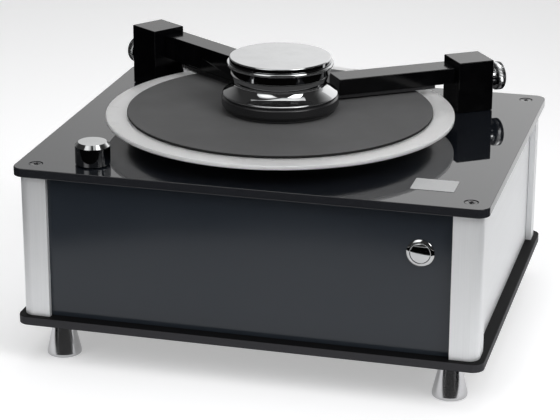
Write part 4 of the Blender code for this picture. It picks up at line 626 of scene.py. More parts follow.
def mat_rubber():
    finish = Finish("platter_mat_rubber", (0.085, 0.085, 0.086), 0.86, ior=1.45)
    pebble = finish.noise(finish.spot(), 1500.0, 3.0, 0.6)
    cells = finish.noise(finish.spot(), 4200.0, 1.0)
    cloud = finish.noise(finish.spot(), 26.0, 4.0, 0.6)
    shade = (pebble * 0.5 + cloud * 0.5).clipped(0.35, 0.65)
    mat_grey = finish.blended(shade, (0.076, 0.076, 0.077), (0.098, 0.098, 0.100))
    # Below the upper half millimetre the wall is painted near black: painted shade on the mat's side.
    above_wall_shade = finish.level(PLATTER).clipped(MAT_TOP - WALL_SHADE_FROM, MAT_TOP - WALL_SHADE_FULL)
    finish.put("Base Color", finish.blended(above_wall_shade, (0.006, 0.006, 0.006), mat_grey))
    finish.put("Roughness", 0.78 + cells * 0.15)
    finish.bump(pebble + cells * 0.6, PEBBLE_DEPTH, 0.55)
    return finish.material


def soft_rubber():
    finish = Finish("black_rubber", (0.020, 0.020, 0.021), 0.6, ior=1.5)
    skin = finish.noise(finish.spot(), 1800.0, 3.0)
    finish.put("Roughness", 0.52 + skin * 0.25)
    shade = skin.clipped(0.4, 0.7)
    finish.put("Base Color", finish.blended(shade, (0.016, 0.016, 0.017), (0.030, 0.030, 0.031)))
    finish.bump(skin, RUBBER_SKIN, 0.5)
    return finish.material


# %% [markdown]
# ## Brushed and anodised aluminium
# The corner columns are drawn through a die, so their grain runs along them, up and down. The side panels
# are brushed sheet, with a horizontal grain. Both are one formula: noise that is stretched a hundred
# times along the grain gives fine streaks, and they move both the gloss and the relief.

# %% Aluminium
BRUSHING_DEPTH = 0.02 * MM
ALONG_Z = (1500.0, 1500.0, 12.0)
ALONG_Y = (1500.0, 12.0, 1500.0)


def brushed_aluminium(name, stretch):
    finish = Finish(name, (0.86, 0.87, 0.88), 0.46, metallic=0.5)
    streaks = finish.noise(finish.spot(stretch), 1.0, 4.0, 0.62)
    cloud = finish.noise(finish.spot(), 9.0, 3.0)
    finish.put("Roughness", 0.40 + streaks * 0.12 + cloud * 0.04)
    tone = (streaks * 0.7 + cloud * 0.3).clipped(0.3, 0.7)
    finish.put("Base Color", finish.blended(tone, (0.82, 0.83, 0.84), (0.90, 0.91, 0.92)))
    finish.bump(streaks, BRUSHING_DEPTH, 0.35)
    return finish.material


# %% [markdown]
# ## Chrome
# The clamp, the knobs, the button and the feet are polished until only the room shows in them. Perfect
# chrome looks like a computer's, so the polish varies a little, and faint polishing lines run round the
# axis.

# %% Chrome
CHROME = (0.48, 0.485, 0.49)
RIM_LEVEL = 35.6 * MM
PAINTED_RIM_BLEND = 0.05 * MM
POLISH_DEPTH = 0.003 * MM
HAZE_SHARE = 0.93


def hazed(colour):
    """The colour under the faint haze of a wiped polish."""
    return tuple(c * HAZE_SHARE for c in colour)


def polished(name, colour, roughness):
    finish = Finish(name, colour, roughness, metallic=1.0)
    haze = finish.noise(finish.spot(), 55.0, 5.0, 0.65)
    rings = finish.noise(finish.spot((60.0, 60.0, 5200.0)), 1.0, 2.0)
    finish.put("Roughness", roughness + haze.clipped(0.45, 0.85) * 0.05 + rings * 0.015)
    finish.put("Base Color", finish.blended(haze.clipped(0.4, 0.7), colour, hazed(colour)))
    finish.bump(rings, POLISH_DEPTH, 0.25)
    return finish.material


def clamp_chrome():
    """Chrome down to the bell's lip. The heavy rim below is painted black, as painted shade for the dark mat
    that it would mirror, and meets the chrome in a fine edge.
    """
    finish = Finish("polished_clamp", CHROME, 0.03, metallic=1.0)
    haze = finish.noise(finish.spot(), 55.0, 5.0, 0.65)
    # Below the rim level the colour is painted black and not metal: painted shade for the dark mat that the
    # rim would mirror.
    chrome_above_painted_rim = finish.level(PLATTER).clipped(RIM_LEVEL - PAINTED_RIM_BLEND, RIM_LEVEL + PAINTED_RIM_BLEND)
    grain = finish.noise(finish.spot((40.0, 40.0, 3000.0)), 1.0, 3.0)
    plated = finish.blended(haze.clipped(0.4, 0.7), CHROME, hazed(CHROME))
    finish.put("Base Color", finish.blended(chrome_above_painted_rim, (0.016, 0.016, 0.017), plated))
    finish.put("Metallic", chrome_above_painted_rim)
    finish.put("Roughness", 0.24 - chrome_above_painted_rim * 0.22 + haze.clipped(0.45, 0.85) * 0.03 + grain * 0.02)
    finish.bump(grain, POLISH_DEPTH, 0.2)
    return finish.material


# %% [markdown]
# ## Plainer finishes
# Inside and below there are turned metal, zinc, brass, painted sheet and moulded plastic. Each still has
# its own grain, because these parts show when a view comes from behind or from below.

# %% Turned metal, paint, plastic, felt
TOOL_LINES = 0.01 * MM
PAINT_PEEL = 0.06 * MM
LEATHER_DEPTH = 0.05 * MM
PILE_DEPTH = 0.12 * MM


def plain_metal(name, colour, roughness):
    finish = Finish(name, colour, roughness, metallic=1.0)
    lines = finish.noise(finish.spot((300.0, 300.0, 3000.0)), 1.0, 3.0)
    patch = finish.noise(finish.spot(), 35.0, 5.0)
    finish.put("Roughness", roughness - 0.05 + lines * 0.1 + patch * 0.08)
    darker = tuple(c * 0.82 for c in colour)
    finish.put("Base Color", finish.blended(patch.clipped(0.35, 0.75), colour, darker))
    finish.bump(lines, TOOL_LINES, 0.4)
    return finish.material


def painted_steel(name, colour, roughness):
    finish = Finish(name, colour, roughness, ior=1.5)
    peel = finish.noise(finish.spot(), 900.0, 3.0, 0.6)
    finish.put("Roughness", roughness - 0.08 + peel * 0.2)
    lighter = tuple(c * 1.15 + 0.006 for c in colour)
    finish.put("Base Color", finish.blended(peel.clipped(0.4, 0.8), colour, lighter))
    finish.bump(peel, PAINT_PEEL, 0.45)
    return finish.material


def moulded_plastic():
    finish = Finish("grey_plastic", (0.30, 0.31, 0.32), 0.45, ior=1.49)
    leather = finish.noise(finish.spot(), 700.0, 3.0)
    finish.put("Roughness", 0.38 + leather * 0.15)
    shade = leather.clipped(0.35, 0.7)
    finish.put("Base Color", finish.blended(shade, (0.28, 0.29, 0.30), (0.33, 0.34, 0.35)))
    finish.bump(leather, LEATHER_DEPTH, 0.4)
    return finish.material


def velvet_felt():
    finish = Finish("black_felt", (0.012, 0.012, 0.013), 0.95, ior=1.45)
    finish.put("Sheen Weight", 0.6)
    finish.put("Sheen Roughness", 0.4)
    pile = finish.noise(finish.spot(), 5200.0, 4.0, 0.7)
    clump = finish.noise(finish.spot(), 420.0, 3.0)
    tone = (pile * 0.6 + clump * 0.4).clipped(0.35, 0.7)
    finish.put("Base Color", finish.blended(tone, (0.008, 0.008, 0.009), (0.030, 0.030, 0.032)))
    finish.bump(pile + clump, PILE_DEPTH, 0.7)
    return finish.material


def nylon_bristle():
    finish = Finish("black_bristles", (0.012, 0.012, 0.013), 0.35, ior=1.53)
    shade = finish.noise(finish.spot((1.0, 1.0, 0.2)), 900.0, 2.0)
    tone = shade.clipped(0.3, 0.7)
    finish.put("Base Color", finish.blended(tone, (0.007, 0.007, 0.008), (0.035, 0.035, 0.037)))
    finish.put("Roughness", 0.28 + shade * 0.2)
    return finish.material


FINISHES = {
    "gloss_black_acrylic": gloss_acrylic(),
    "matt_black_acrylic": matt_acrylic(),
    "frosted_sheet": frosted_sheet(),
    "satin_black_plastic": satin_plastic(),
    "opal_acrylic": opal_acrylic(),
    "platter_mat_rubber": mat_rubber(),
    "black_rubber": soft_rubber(),
    "brushed_aluminium": brushed_aluminium("brushed_aluminium", ALONG_Z),
    "brushed_sheet": brushed_aluminium("brushed_sheet", ALONG_Y),
    "turned_aluminium": plain_metal("turned_aluminium", (0.66, 0.66, 0.67), 0.26),
    "motor_aluminium": plain_metal("motor_aluminium", (0.50, 0.50, 0.51), 0.42),
    "polished_clamp": clamp_chrome(),
    "polished_feet": polished("polished_feet", (0.50, 0.50, 0.51), 0.06),
    "chromed_controls": polished("chromed_controls", CHROME, 0.045),
    "plain_steel": plain_metal("plain_steel", (0.50, 0.50, 0.50), 0.34),
    "black_steel": painted_steel("black_steel", (0.022, 0.022, 0.024), 0.48),
    "black_screws": painted_steel("black_screws", (0.014, 0.014, 0.016), 0.16),
    "satin_plate": painted_steel("satin_plate", (0.44, 0.445, 0.45), 0.42),
    "bearing_brass": plain_metal("bearing_brass", (0.56, 0.42, 0.18), 0.3),
    "black_felt": velvet_felt(),
    "black_bristles": nylon_bristle(),
    "grey_plastic": moulded_plastic(),
}


def finish_with(piece, slot, finish=None):
    """Gives a piece its material: the finish when one is named, or else the one that goes with the record's
    slot.
    """
    piece.data.materials.clear()
    piece.data.materials.append(FINISHES[finish or slot])
    return piece


SHEET_FINISH = {
    "side_panel_left": "brushed_sheet",
    "side_panel_right": "brushed_sheet",
    "front_panel": "frosted_sheet",
}
for part in frame["record"]["subparts"]:
    carried = frame["nodes"][part["node"]]
    slot = part["material_slot"]
    finish = SHEET_FINISH.get(part["node"], slot)
    carried.data.materials.clear()
    carried.data.materials.append(FINISHES[finish])
print("finishes:", len(FINISHES))

# %% [markdown]
# ## The plates
# Each plate is one sheet of acrylic, cut with round corners and a polished edge. The screw heads lie just
# below its face in countersinks, and those are cut here as real holes, so a dark ring shows round each
# head.

# %% Plates
HEAD_RADIUS = 5.3 * MM
HEAD_GAP = 0.7 * MM
HEAD_DEPTH = 3.4 * MM
HEAD_SINK = 0.4 * MM
SHANK_RADIUS = 1.9 * MM
PLATE_CORNER = 10.0 * MM
PLATE_EDGE = 0.5 * MM
CORNERS = {"front_left": (-1, -1), "front_right": (1, -1), "rear_left": (-1, 1), "rear_right": (1, 1)}


def node_middle(node):
    low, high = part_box(node)
    return (low + high) / 2


def node_size(node):
    low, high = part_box(node)
    return high - low


def plate(node, screws, face_up):
    """A plate with countersunk holes on the side where the heads are."""
    size = node_size(node)
    middle = node_middle(node)
    top = size.z / 2
    head = HEAD_RADIUS + HEAD_GAP
    shank = SHANK_RADIUS + HEAD_GAP
    sink = HEAD_SINK + HEAD_DEPTH
    path = [(head, top), (head, top - HEAD_SINK), (shank, top - sink), (shank, -top)]
    if not face_up:
        path = [(r, -z) for r, z in reversed(path)]
    holes = [(node_middle(screw).x - middle.x, node_middle(screw).y - middle.y, path) for screw in screws]
    level = Matrix.Identity(4)
    made = slab(node + "_sheet", size, middle, level, "housing", PLATE_CORNER, PLATE_EDGE, holes)
    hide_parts(node)
    finish_with(made, "gloss_black_acrylic", None if face_up else "matt_black_acrylic")


plate("top_plate", ["top_screw_" + name for name in CORNERS], True)
plate("base_plate", ["base_screw_" + name for name in CORNERS], False)
print("plates with", len(CORNERS), "countersinks each")

# %% [markdown]
# ## The screws
# The screws are blackened, with a flat head and a hexagon socket. The socket is what tells a machine
# screw from a plug, so the head is turned with a true six-sided hole: the ring round the socket has its
# radius bent to R cos(30) / cos(a), the polar form of a hexagon.

# %% Screws
SOCKET_RADIUS = 1.7 * MM
SOCKET_DEPTH = 2.2 * MM
SOCKET_MOUTH = 0.15 * MM
MOUTH_SHARE = 1.12
SOCKET_LIMIT = SOCKET_RADIUS * 1.01
CORNER_REACH = 1.08
HEAD_EASE = 0.35 * MM
HEAD_FLANK = 0.7 * MM
FLANK_EASE = 0.2 * MM
SCREW_LENGTH = 26.0 * MM
SCREW_TIP_EASE = 0.4 * MM
SCREW_CORE = 0.3


def hexagon(radius, height, angle):
    """What bends the rings of the socket from a circle to a hexagon."""
    within = np.abs(np.mod(angle, np.pi / 3) - np.pi / 6)
    share = math.cos(math.pi / 6) / np.cos(within)
    inner = (radius < SOCKET_LIMIT) & (height > -HEAD_DEPTH)
    return np.where(inner, radius * (share * CORNER_REACH - 1), 0.0)


def screw(node, face, up):
    spot = node_middle(node)
    spot.z = face
    flip = Matrix.Identity(4) if up else Matrix.Rotation(math.pi, 4, "X")
    screw_place = Matrix.Translation(spot) @ flip
    top = -HEAD_SINK
    profile = [
        (SOCKET_RADIUS * SCREW_CORE, top - SOCKET_DEPTH),
        (SOCKET_RADIUS, top - SOCKET_DEPTH),
        (SOCKET_RADIUS, top - SOCKET_MOUTH),
        (SOCKET_RADIUS * MOUTH_SHARE, top),
        (HEAD_RADIUS, top, HEAD_EASE),
        (HEAD_RADIUS - HEAD_EASE, top - HEAD_FLANK, FLANK_EASE),
        (SHANK_RADIUS, top - HEAD_DEPTH),
        (SHANK_RADIUS, -SCREW_LENGTH, SCREW_TIP_EASE),
        (SHANK_RADIUS * SCREW_CORE, -SCREW_LENGTH),
    ]
    made = turned(node + "_turned", profile, screw_place, "housing", SMALL_TURN, ripple=hexagon)
    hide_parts(node)
    finish_with(made, "black_screws")


base_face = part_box("base_plate")[0].z
for name in CORNERS:
    screw("top_screw_" + name, DECK, True)
    screw("base_screw_" + name, base_face, False)
print("base plate above the floor in mm:", round(base_face / MM, 1))

# %% [markdown]
# ## The columns
# The columns are one extrusion: a square with a big round outer corner and two grooves that take the
# panels. Its outline is carried straight up between the plates.

# %% Columns
COLUMN_SIDE = 24.0 * MM
COLUMN_RADIUS = 10.0 * MM
COLUMN_EASE = 0.35 * MM
COLUMN_ARC_STEPS = 14
COLUMN_SHARP_DEG = 30.0
GROOVE_WIDTH = 3.6 * MM
GROOVE_DEPTH = 6.0 * MM
GROOVE_PLAY = 0.3 * MM
PANEL_SETBACK = 5.3 * MM


def column(name, sx, sy):
    """The extrusion's outline for the corner where both signs are plus, mirrored to its own corner."""
    half = COLUMN_SIDE / 2
    outer = half - PANEL_SETBACK + GROOVE_PLAY
    inner = outer - GROOVE_WIDTH
    bottom = -half + GROOVE_DEPTH
    corners = [
        (half, -half, COLUMN_EASE),
        (half, half, COLUMN_RADIUS),
        (-half, half, COLUMN_EASE),
        (-half, outer, COLUMN_EASE),
        (bottom, outer),
        (bottom, inner),
        (-half, inner, COLUMN_EASE),
        (-half, -half, COLUMN_EASE),
        (inner, -half, COLUMN_EASE),
        (inner, bottom),
        (outer, bottom),
        (outer, -half, COLUMN_EASE),
    ]
    outline = eased(corners, closed=True, steps=COLUMN_ARC_STEPS) * np.array([sx, sy])
    if sx * sy < 0:
        outline = outline[::-1]
    low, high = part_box("column_" + name)
    middle = (low + high) / 2
    outline = outline + np.array([middle.x, middle.y])
    rows = [np.column_stack([outline, np.full(len(outline), z)]) for z in (high.z, low.z)]
    columns = len(outline)
    faces = grid_faces(2, columns, False, True)
    points = np.vstack(rows)
    faces += cap_with_holes([list(range(columns))], points, True)
    faces += cap_with_holes([list(range(columns, 2 * columns))], points, False)
    made = new_piece("column_" + name + "_drawn", points, faces, "housing", COLUMN_SHARP_DEG)
    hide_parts("column_" + name)
    finish_with(made, "brushed_aluminium")


for name, (sx, sy) in CORNERS.items():
    column(name, sx, sy)
print("columns:", len(CORNERS))

# %% [markdown]
# ## The feet
# Each foot is a polished cone on a stud, with a short collar under the plate and a bright rim at the
# floor. The rubber pad sits in a recess below and is all that touches the table.

# %% Feet
FOOT_TOP = 8.3 * MM
FOOT_BOTTOM = 14.8 * MM
FOOT_GAP = 0.3 * MM
COLLAR_HEIGHT = 3.0 * MM
COLLAR_EASE = 1.2 * MM
FOOT_RIM_TOP = 3.4 * MM
FOOT_RIM_BOTTOM = 1.0 * MM
FOOT_RIM_EASE = 0.8 * MM
FOOT_LIP_EASE = 0.5 * MM
STUD_RADIUS = 3.0 * MM
STUD_EASE = 0.4 * MM
PAD_RADIUS = 11.8 * MM
PAD_GAP = 0.3 * MM
PAD_THICKNESS = 2.2 * MM
PAD_RECESS = 2.5 * MM
PAD_TOP_EASE = 0.2 * MM
PAD_FLOOR_EASE = 0.5 * MM
FOOT_CORE = 0.4

for name in CORNERS:
    spot = node_middle("foot_" + name)
    spot.z = 0.0
    foot_place = Matrix.Translation(spot)
    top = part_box("foot_" + name)[1].z
    shoulder = base_face - FOOT_GAP
    profile = [
        (STUD_RADIUS * FOOT_CORE, top),
        (STUD_RADIUS, top, STUD_EASE),
        (STUD_RADIUS, shoulder),
        (FOOT_TOP, shoulder, STUD_EASE),
        (FOOT_TOP, shoulder - COLLAR_HEIGHT, COLLAR_EASE),
        (FOOT_BOTTOM, FOOT_RIM_TOP, FOOT_RIM_EASE),
        (FOOT_BOTTOM, FOOT_RIM_BOTTOM, FOOT_LIP_EASE),
        (PAD_RADIUS + PAD_GAP, FOOT_RIM_BOTTOM),
        (PAD_RADIUS + PAD_GAP, PAD_RECESS),
        (PAD_RADIUS * FOOT_CORE, PAD_RECESS),
    ]
    foot = turned("foot_" + name + "_turned", profile, foot_place, "housing", PART_TURN)
    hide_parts("foot_" + name)
    finish_with(foot, "polished_feet")
    pad = [
        (PAD_RADIUS * FOOT_CORE, PAD_THICKNESS),
        (PAD_RADIUS, PAD_THICKNESS, PAD_TOP_EASE),
        (PAD_RADIUS, 0.0, PAD_FLOOR_EASE),
        (PAD_RADIUS * FOOT_CORE, 0.0),
    ]
    pad_piece = turned("foot_pad_" + name + "_turned", pad, foot_place, "housing", SMALL_TURN)
    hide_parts("foot_pad_" + name)
    finish_with(pad_piece, "black_rubber")
print("foot radius at the floor in mm:", round(FOOT_BOTTOM / MM, 1))

# %% [markdown]
# ## The platter
# The disc is turned with a fine chamfer at its upper edge, which shows as a bright hairline. The mat lies
# on it and is smaller, so a white ring shows all round. Its radius is trimmed a little against the CAD
# mat, because the ring is wider in the photograph. Both have a hole for the spindle.

# %% Disc and mat
DISC_BORE = 10.3 * MM
DISC_TOP_EASE = 0.5 * MM
DISC_FOOT_EASE = 0.35 * MM
MAT_TRIM = 3.4 * MM
MAT_BORE = 3.9 * MM
MAT_TOP_EASE = 0.7 * MM
MAT_EASE = 0.3 * MM

platter_place = Matrix.Translation(PLATTER)
disc_low, disc_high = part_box("platter_disc")
disc_radius = (disc_high.x - disc_low.x) / 2
disc_top = disc_high.z - DECK
disc_bottom = disc_low.z - DECK
profile = [
    (DISC_BORE, disc_top),
    (disc_radius, disc_top, DISC_TOP_EASE),
    (disc_radius, disc_bottom, DISC_FOOT_EASE),
    (DISC_BORE, disc_bottom),
]
disc = turned("platter_disc_turned", profile, platter_place, "platter", LARGE_TURN, hollow=True)
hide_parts("platter_disc")
finish_with(disc, "opal_acrylic")

mat_low, mat_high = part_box("platter_mat")
mat_radius = (mat_high.x - mat_low.x) / 2 - MAT_TRIM
mat_bottom = mat_low.z - DECK
profile = [
    (MAT_BORE, MAT_TOP, MAT_EASE),
    (mat_radius, MAT_TOP, MAT_TOP_EASE),
    (mat_radius, mat_bottom, MAT_EASE),
    (MAT_BORE, mat_bottom),
]
mat = turned("platter_mat_cut", profile, platter_place, "platter", LARGE_TURN, hollow=True)
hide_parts("platter_mat")
finish_with(mat, "platter_mat_rubber")
print("mat top above the deck in mm:", round(MAT_TOP / MM, 2))

# %% [markdown]
# ## Hub and spindle
# Under the disc a flanged hub carries it on a shaft. The spindle above it has a rounded nose, so that a
# record finds its hole. Both show when the clamp is lifted or the machine is seen from low down.

# %% Hub and spindle
HUB_BORE = 3.7 * MM
HUB_PILOT = 10.0 * MM
FLANGE_RADIUS = 36.0 * MM
FLANGE_TOP = 14.8 * MM
FLANGE_FOOT = 10.3 * MM
FLANGE_EASE = 0.8 * MM
BOSS_RADIUS = 14.0 * MM
BOSS_FOOT = 3.6 * MM
BOSS_EASE = 1.5 * MM
SHAFT_RADIUS = 6.0 * MM
SHAFT_CORE = 2.0 * MM
HUB_EASE = 0.5 * MM
SPINDLE_RADIUS = 3.6 * MM
SPINDLE_FOOT_EASE = 0.2 * MM
NOSE_RADIUS = 2.2 * MM
NOSE_LENGTH = 2.8 * MM
NOSE_EASE = 0.9 * MM
NOSE_ROOT_EASE = 1.5 * MM

hub_low, hub_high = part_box("platter_hub")
profile = [
    (HUB_BORE, hub_high.z - DECK),
    (HUB_PILOT, hub_high.z - DECK),
    (HUB_PILOT, FLANGE_TOP),
    (FLANGE_RADIUS, FLANGE_TOP, HUB_EASE),
    (FLANGE_RADIUS, FLANGE_FOOT, FLANGE_EASE),
    (BOSS_RADIUS, FLANGE_FOOT, BOSS_EASE),
    (BOSS_RADIUS, BOSS_FOOT, HUB_EASE),
    (SHAFT_RADIUS, BOSS_FOOT),
    (SHAFT_RADIUS, hub_low.z - DECK, HUB_EASE),
    (SHAFT_CORE, hub_low.z - DECK),
]
hub = turned("platter_hub_turned", profile, platter_place, "platter", PART_TURN)
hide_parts("platter_hub")
finish_with(hub, "turned_aluminium")

spindle_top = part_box("platter_spindle")[1].z - DECK
spindle_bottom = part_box("platter_spindle")[0].z - DECK
profile = [
    (FINE_CORE, spindle_top),
    (NOSE_RADIUS, spindle_top, NOSE_EASE),
    (SPINDLE_RADIUS, spindle_top - NOSE_LENGTH, NOSE_ROOT_EASE),
    (SPINDLE_RADIUS, spindle_bottom, SPINDLE_FOOT_EASE),
    (CORE, spindle_bottom),
]
spindle = turned("platter_spindle_turned", profile, platter_place, "platter", PIN_TURN)
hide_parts("platter_spindle")
finish_with(spindle, "plain_steel", "chromed_controls")
print("spindle top above the deck in mm:", round(spindle_top / MM, 1))

# %% [markdown]
# ## The clamp
# The clamp is the showpiece. From the top it has a mirror disc with a fine rolled edge, a bead, a
# straight drum, a deep waist where fingers grip, a bell that flares out in a long curve, and a heavy rim
# with a groove above it. Each of these forms is one line of its profile, and each bends the room in its
# own way. The flare is a parabola, r = R + w s s and h = H - k s for s from 0 to 1, so it leaves the neck
# upright and still slopes where it meets the lip.

# %% Clamp
CLAMP_TOP = 67.9 * MM
BODY_TOP = 63.4 * MM
RIM = 50.5 * MM
BELL = 49.2 * MM
NECK = 39.6 * MM
DRUM = 42.8 * MM
BEAD = 46.1 * MM
CAP = 43.8 * MM
CLAMP_CORE = 12.0 * MM
SEAT_GAP = 0.3 * MM
SEAL_SEAT = MAT_TOP + SEAT_GAP
CLAMP_FOOT = SEAL_SEAT + 2.1 * MM
FLARE_TOP = 46.2 * MM
FLARE_FOOT = 36.6 * MM
FLARE_STEPS = 48


def flare():
    """The parabola between the neck and the bell's lip."""
    s = np.linspace(0, 1, FLARE_STEPS)
    radius = NECK + (BELL - NECK) * s * s
    height = FLARE_TOP - (FLARE_TOP - FLARE_FOOT) * s
    return list(zip(radius.tolist(), height.tolist()))


BEAD_INSET = 0.5 * MM
BEAD_SIDE_EASE = 0.6 * MM
BEAD_EASE = 0.9 * MM
BEAD_MIDDLE = BODY_TOP - 1.3 * MM
BEAD_FOOT = BODY_TOP - 2.6 * MM
DRUM_TOP = BODY_TOP - 3.0 * MM
DRUM_FOOT = 53.4 * MM
DRUM_EASE = 0.3 * MM
DRUM_INSET = 1.1 * MM
DRUM_SLOPE_FOOT = 52.3 * MM
DRUM_SLOPE_EASE = 0.8 * MM
NECK_INSET = 0.4 * MM
NECK_TOP = 47.4 * MM
NECK_EASE = 1.0 * MM
clamp_profile = [
    (CLAMP_CORE, BODY_TOP),
    (BEAD - BEAD_INSET, BODY_TOP, BEAD_SIDE_EASE),
    (BEAD, BEAD_MIDDLE, BEAD_EASE),
    (BEAD - BEAD_INSET, BEAD_FOOT, BEAD_SIDE_EASE),
    (DRUM, DRUM_TOP, DRUM_EASE),
    (DRUM, DRUM_FOOT, DRUM_EASE),
    (DRUM - DRUM_INSET, DRUM_SLOPE_FOOT, DRUM_SLOPE_EASE),
    (NECK + NECK_INSET, NECK_TOP, NECK_EASE),
]
clamp_profile += flare()
print("clamp above the deck in mm:", round(CLAMP_TOP / MM, 1))

# %% [markdown]
# The bell ends in a small lip. A groove parts it from the heavy rim, whose lower edge is cut back in a
# slope, and a blind bore takes the spindle.

# %% Rim and bore
LIP_PROUD = 0.4 * MM
LIP_TOP = FLARE_FOOT - 0.5 * MM
LIP_FOOT = FLARE_FOOT - 1.3 * MM
LIP_EASE = 0.2 * MM
RIM_GROOVE = 48.6 * MM
RIM_GROOVE_FOOT = FLARE_FOOT - 2.5 * MM
RIM_TOP = FLARE_FOOT - 3.8 * MM
RIM_TOP_EASE = 1.0 * MM
RIM_FOOT = CLAMP_FOOT + 3.0 * MM
RIM_FOOT_EASE = 1.2 * MM
SLOPE_INSET = 1.5 * MM
SLOPE_LEVEL = CLAMP_FOOT + 0.7 * MM
SLOPE_EASE = 0.8 * MM
FOOT_INSET = 3.0 * MM
FOOT_EASE = 0.5 * MM
FOOT_GUARD = 46.5 * MM
CLAMP_BORE = 4.1 * MM
CLAMP_BORE_TOP = CLAMP_FOOT + 16.0 * MM
CLAMP_SHARP_DEG = 50.0
clamp_profile += [
    (BELL + LIP_PROUD, LIP_TOP, LIP_EASE),
    (BELL + LIP_PROUD, LIP_FOOT, LIP_EASE),
    (RIM_GROOVE, LIP_FOOT),
    (RIM_GROOVE, RIM_GROOVE_FOOT),
    (RIM, RIM_TOP, RIM_TOP_EASE),
    (RIM, RIM_FOOT, RIM_FOOT_EASE),
    (RIM - SLOPE_INSET, SLOPE_LEVEL, SLOPE_EASE),
    (RIM - FOOT_INSET, CLAMP_FOOT, FOOT_EASE),
    (FOOT_GUARD, CLAMP_FOOT),
    (CLAMP_CORE, CLAMP_FOOT),
    (CLAMP_BORE, CLAMP_FOOT),
    (CLAMP_BORE, CLAMP_BORE_TOP),
    (CORE, CLAMP_BORE_TOP),
]
clamp = turned(
    "clamp_body_turned", clamp_profile, platter_place, "clamp", LARGE_TURN, sharp_deg=CLAMP_SHARP_DEG
)
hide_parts("clamp_body")
finish_with(clamp, "polished_clamp")
print("points in the clamp's profile:", len(clamp_profile))

# %% [markdown]
# The cap is a separate mirror disc on top, with a rolled edge. The seal is a rubber ring under the clamp.

# %% Cap and seal
CAP_CORE = CAP * 0.5
CAP_FOOT = BODY_TOP + 0.3 * MM
CAP_ROLL = 1.0 * MM
CAP_FOOT_EASE = 0.4 * MM
SEAL_INNER = 44.0 * MM
SEAL_OUTER = 47.5 * MM
SEAL_TOP = SEAL_SEAT + 2.6 * MM
SEAL_TOP_EASE = 0.3 * MM
SEAL_FOOT_EASE = 0.8 * MM
profile = [
    (CAP_CORE, CLAMP_TOP),
    (CAP, CLAMP_TOP, CAP_ROLL),
    (CAP, CAP_FOOT, CAP_FOOT_EASE),
    (CAP_CORE, CAP_FOOT),
]
cap = turned("clamp_cap_turned", profile, platter_place, "clamp", LARGE_TURN)
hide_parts("clamp_cap")
finish_with(cap, "polished_clamp")
profile = [
    (SEAL_INNER, SEAL_TOP),
    (SEAL_OUTER, SEAL_TOP, SEAL_TOP_EASE),
    (SEAL_OUTER, SEAL_SEAT, SEAL_FOOT_EASE),
    (SEAL_INNER, SEAL_SEAT, SEAL_FOOT_EASE),
]
seal = turned("clamp_seal_ring", profile, platter_place, "clamp", RING_TURN, hollow=True)
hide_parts("clamp_seal")
finish_with(seal, "black_rubber")
print("cap radius in mm:", round(CAP / MM, 1))

# %% [markdown]
# ## Posts and arms
# The posts and bars keep their CAD shape with its slots, bores and air channel. Their edges get a small
# bevel, because the thin light line along each edge is what shows that these blocks are milled and not
# painted on.

# %% Posts and bars
POST_EDGE = 0.35 * MM
MILLED = {
    "suction_post": "suction_carrier",
    "suction_arm": "suction_carrier",
    "brush_post": "brush_carrier",
    "brush_arm": "brush_carrier",
}
for node, body in MILLED.items():
    piece = softened(node, body, POST_EDGE)
    finish_with(piece, "satin_black_plastic")
print("softened:", list(MILLED))

# %% [markdown]
# ## The felt lips
# Under the suction bar a shoe carries two strips of black velvet with the slit between them. They are
# soft, so their edges are round and their faces are uneven by a few hundredths of a millimetre. Each
# strip is a slab.

# %% Felt lips
LIP_LENGTH = 91.54 * MM
LIP_WIDTH = 22.8 * MM
FELT_WIDTH = 12.0 * MM
FELT_THICKNESS = 1.7 * MM
FELT_SHORTER = 6.0 * MM
FELT_CORNER = 1.2 * MM
FELT_EDGE = 0.6 * MM
FELT_FOOT = MAT_TOP + 0.3 * MM
SLIT_WIDTH = 3.0 * MM
SLIT_LENGTH = 82.04 * MM
SHOE_WALL = 6.0 * MM
SHOE_EDGE = 0.3 * MM
SHOE_END_EDGE = 0.1 * MM
SUCTION_SHIFT = -2.1 * MM
SUCTION_REACH = 128.04 * MM
SUCTION_BAR_FOOT = 26.4 * MM
SHOE_FOOT = FELT_FOOT + 1.6 * MM
SHOE_TOP = SUCTION_BAR_FOOT - 0.3 * MM


def lips():
    """A shoe in four bars round the slit, and a velvet strip on each side of it, in one piece."""
    parts = []
    side = (LIP_WIDTH - SLIT_WIDTH) / 2
    felt = (FELT_WIDTH - SLIT_WIDTH) / 2
    tip = SUCTION_REACH
    slit_end = tip - SHOE_WALL
    slit_start = slit_end - SLIT_LENGTH
    shoe_middle = (SHOE_TOP + SHOE_FOOT) / 2
    shoe_height = SHOE_TOP - SHOE_FOOT
    lip_middle = tip - LIP_LENGTH / 2
    for sign in (-1, 1):
        y = SUCTION_SHIFT + sign * (SLIT_WIDTH + side) / 2
        size = (LIP_LENGTH, side, shoe_height)
        parts.append((size, (lip_middle, y, shoe_middle), SHOE_EDGE, SHOE_EDGE))
        y = SUCTION_SHIFT + sign * (SLIT_WIDTH + felt) / 2
        size = (LIP_LENGTH - FELT_SHORTER, felt, FELT_THICKNESS)
        parts.append((size, (lip_middle, y, FELT_FOOT + FELT_THICKNESS / 2), FELT_CORNER, FELT_EDGE))
    for low, high in ((slit_end, tip), (tip - LIP_LENGTH, slit_start)):
        size = (high - low, SLIT_WIDTH, shoe_height)
        centre = ((low + high) / 2, SUCTION_SHIFT, shoe_middle)
        parts.append((size, centre, SHOE_END_EDGE, SHOE_END_EDGE))
    return parts


def join_pieces(name, pieces):
    """Puts the meshes of several pieces into the first one."""
    bm = bmesh.new()
    for piece in pieces:
        bm.from_mesh(piece.data)
    bm.to_mesh(pieces[0].data)
    bm.free()
    for piece in pieces[1:]:
        bpy.data.objects.remove(piece)
    pieces[0].name = name
    return pieces[0]


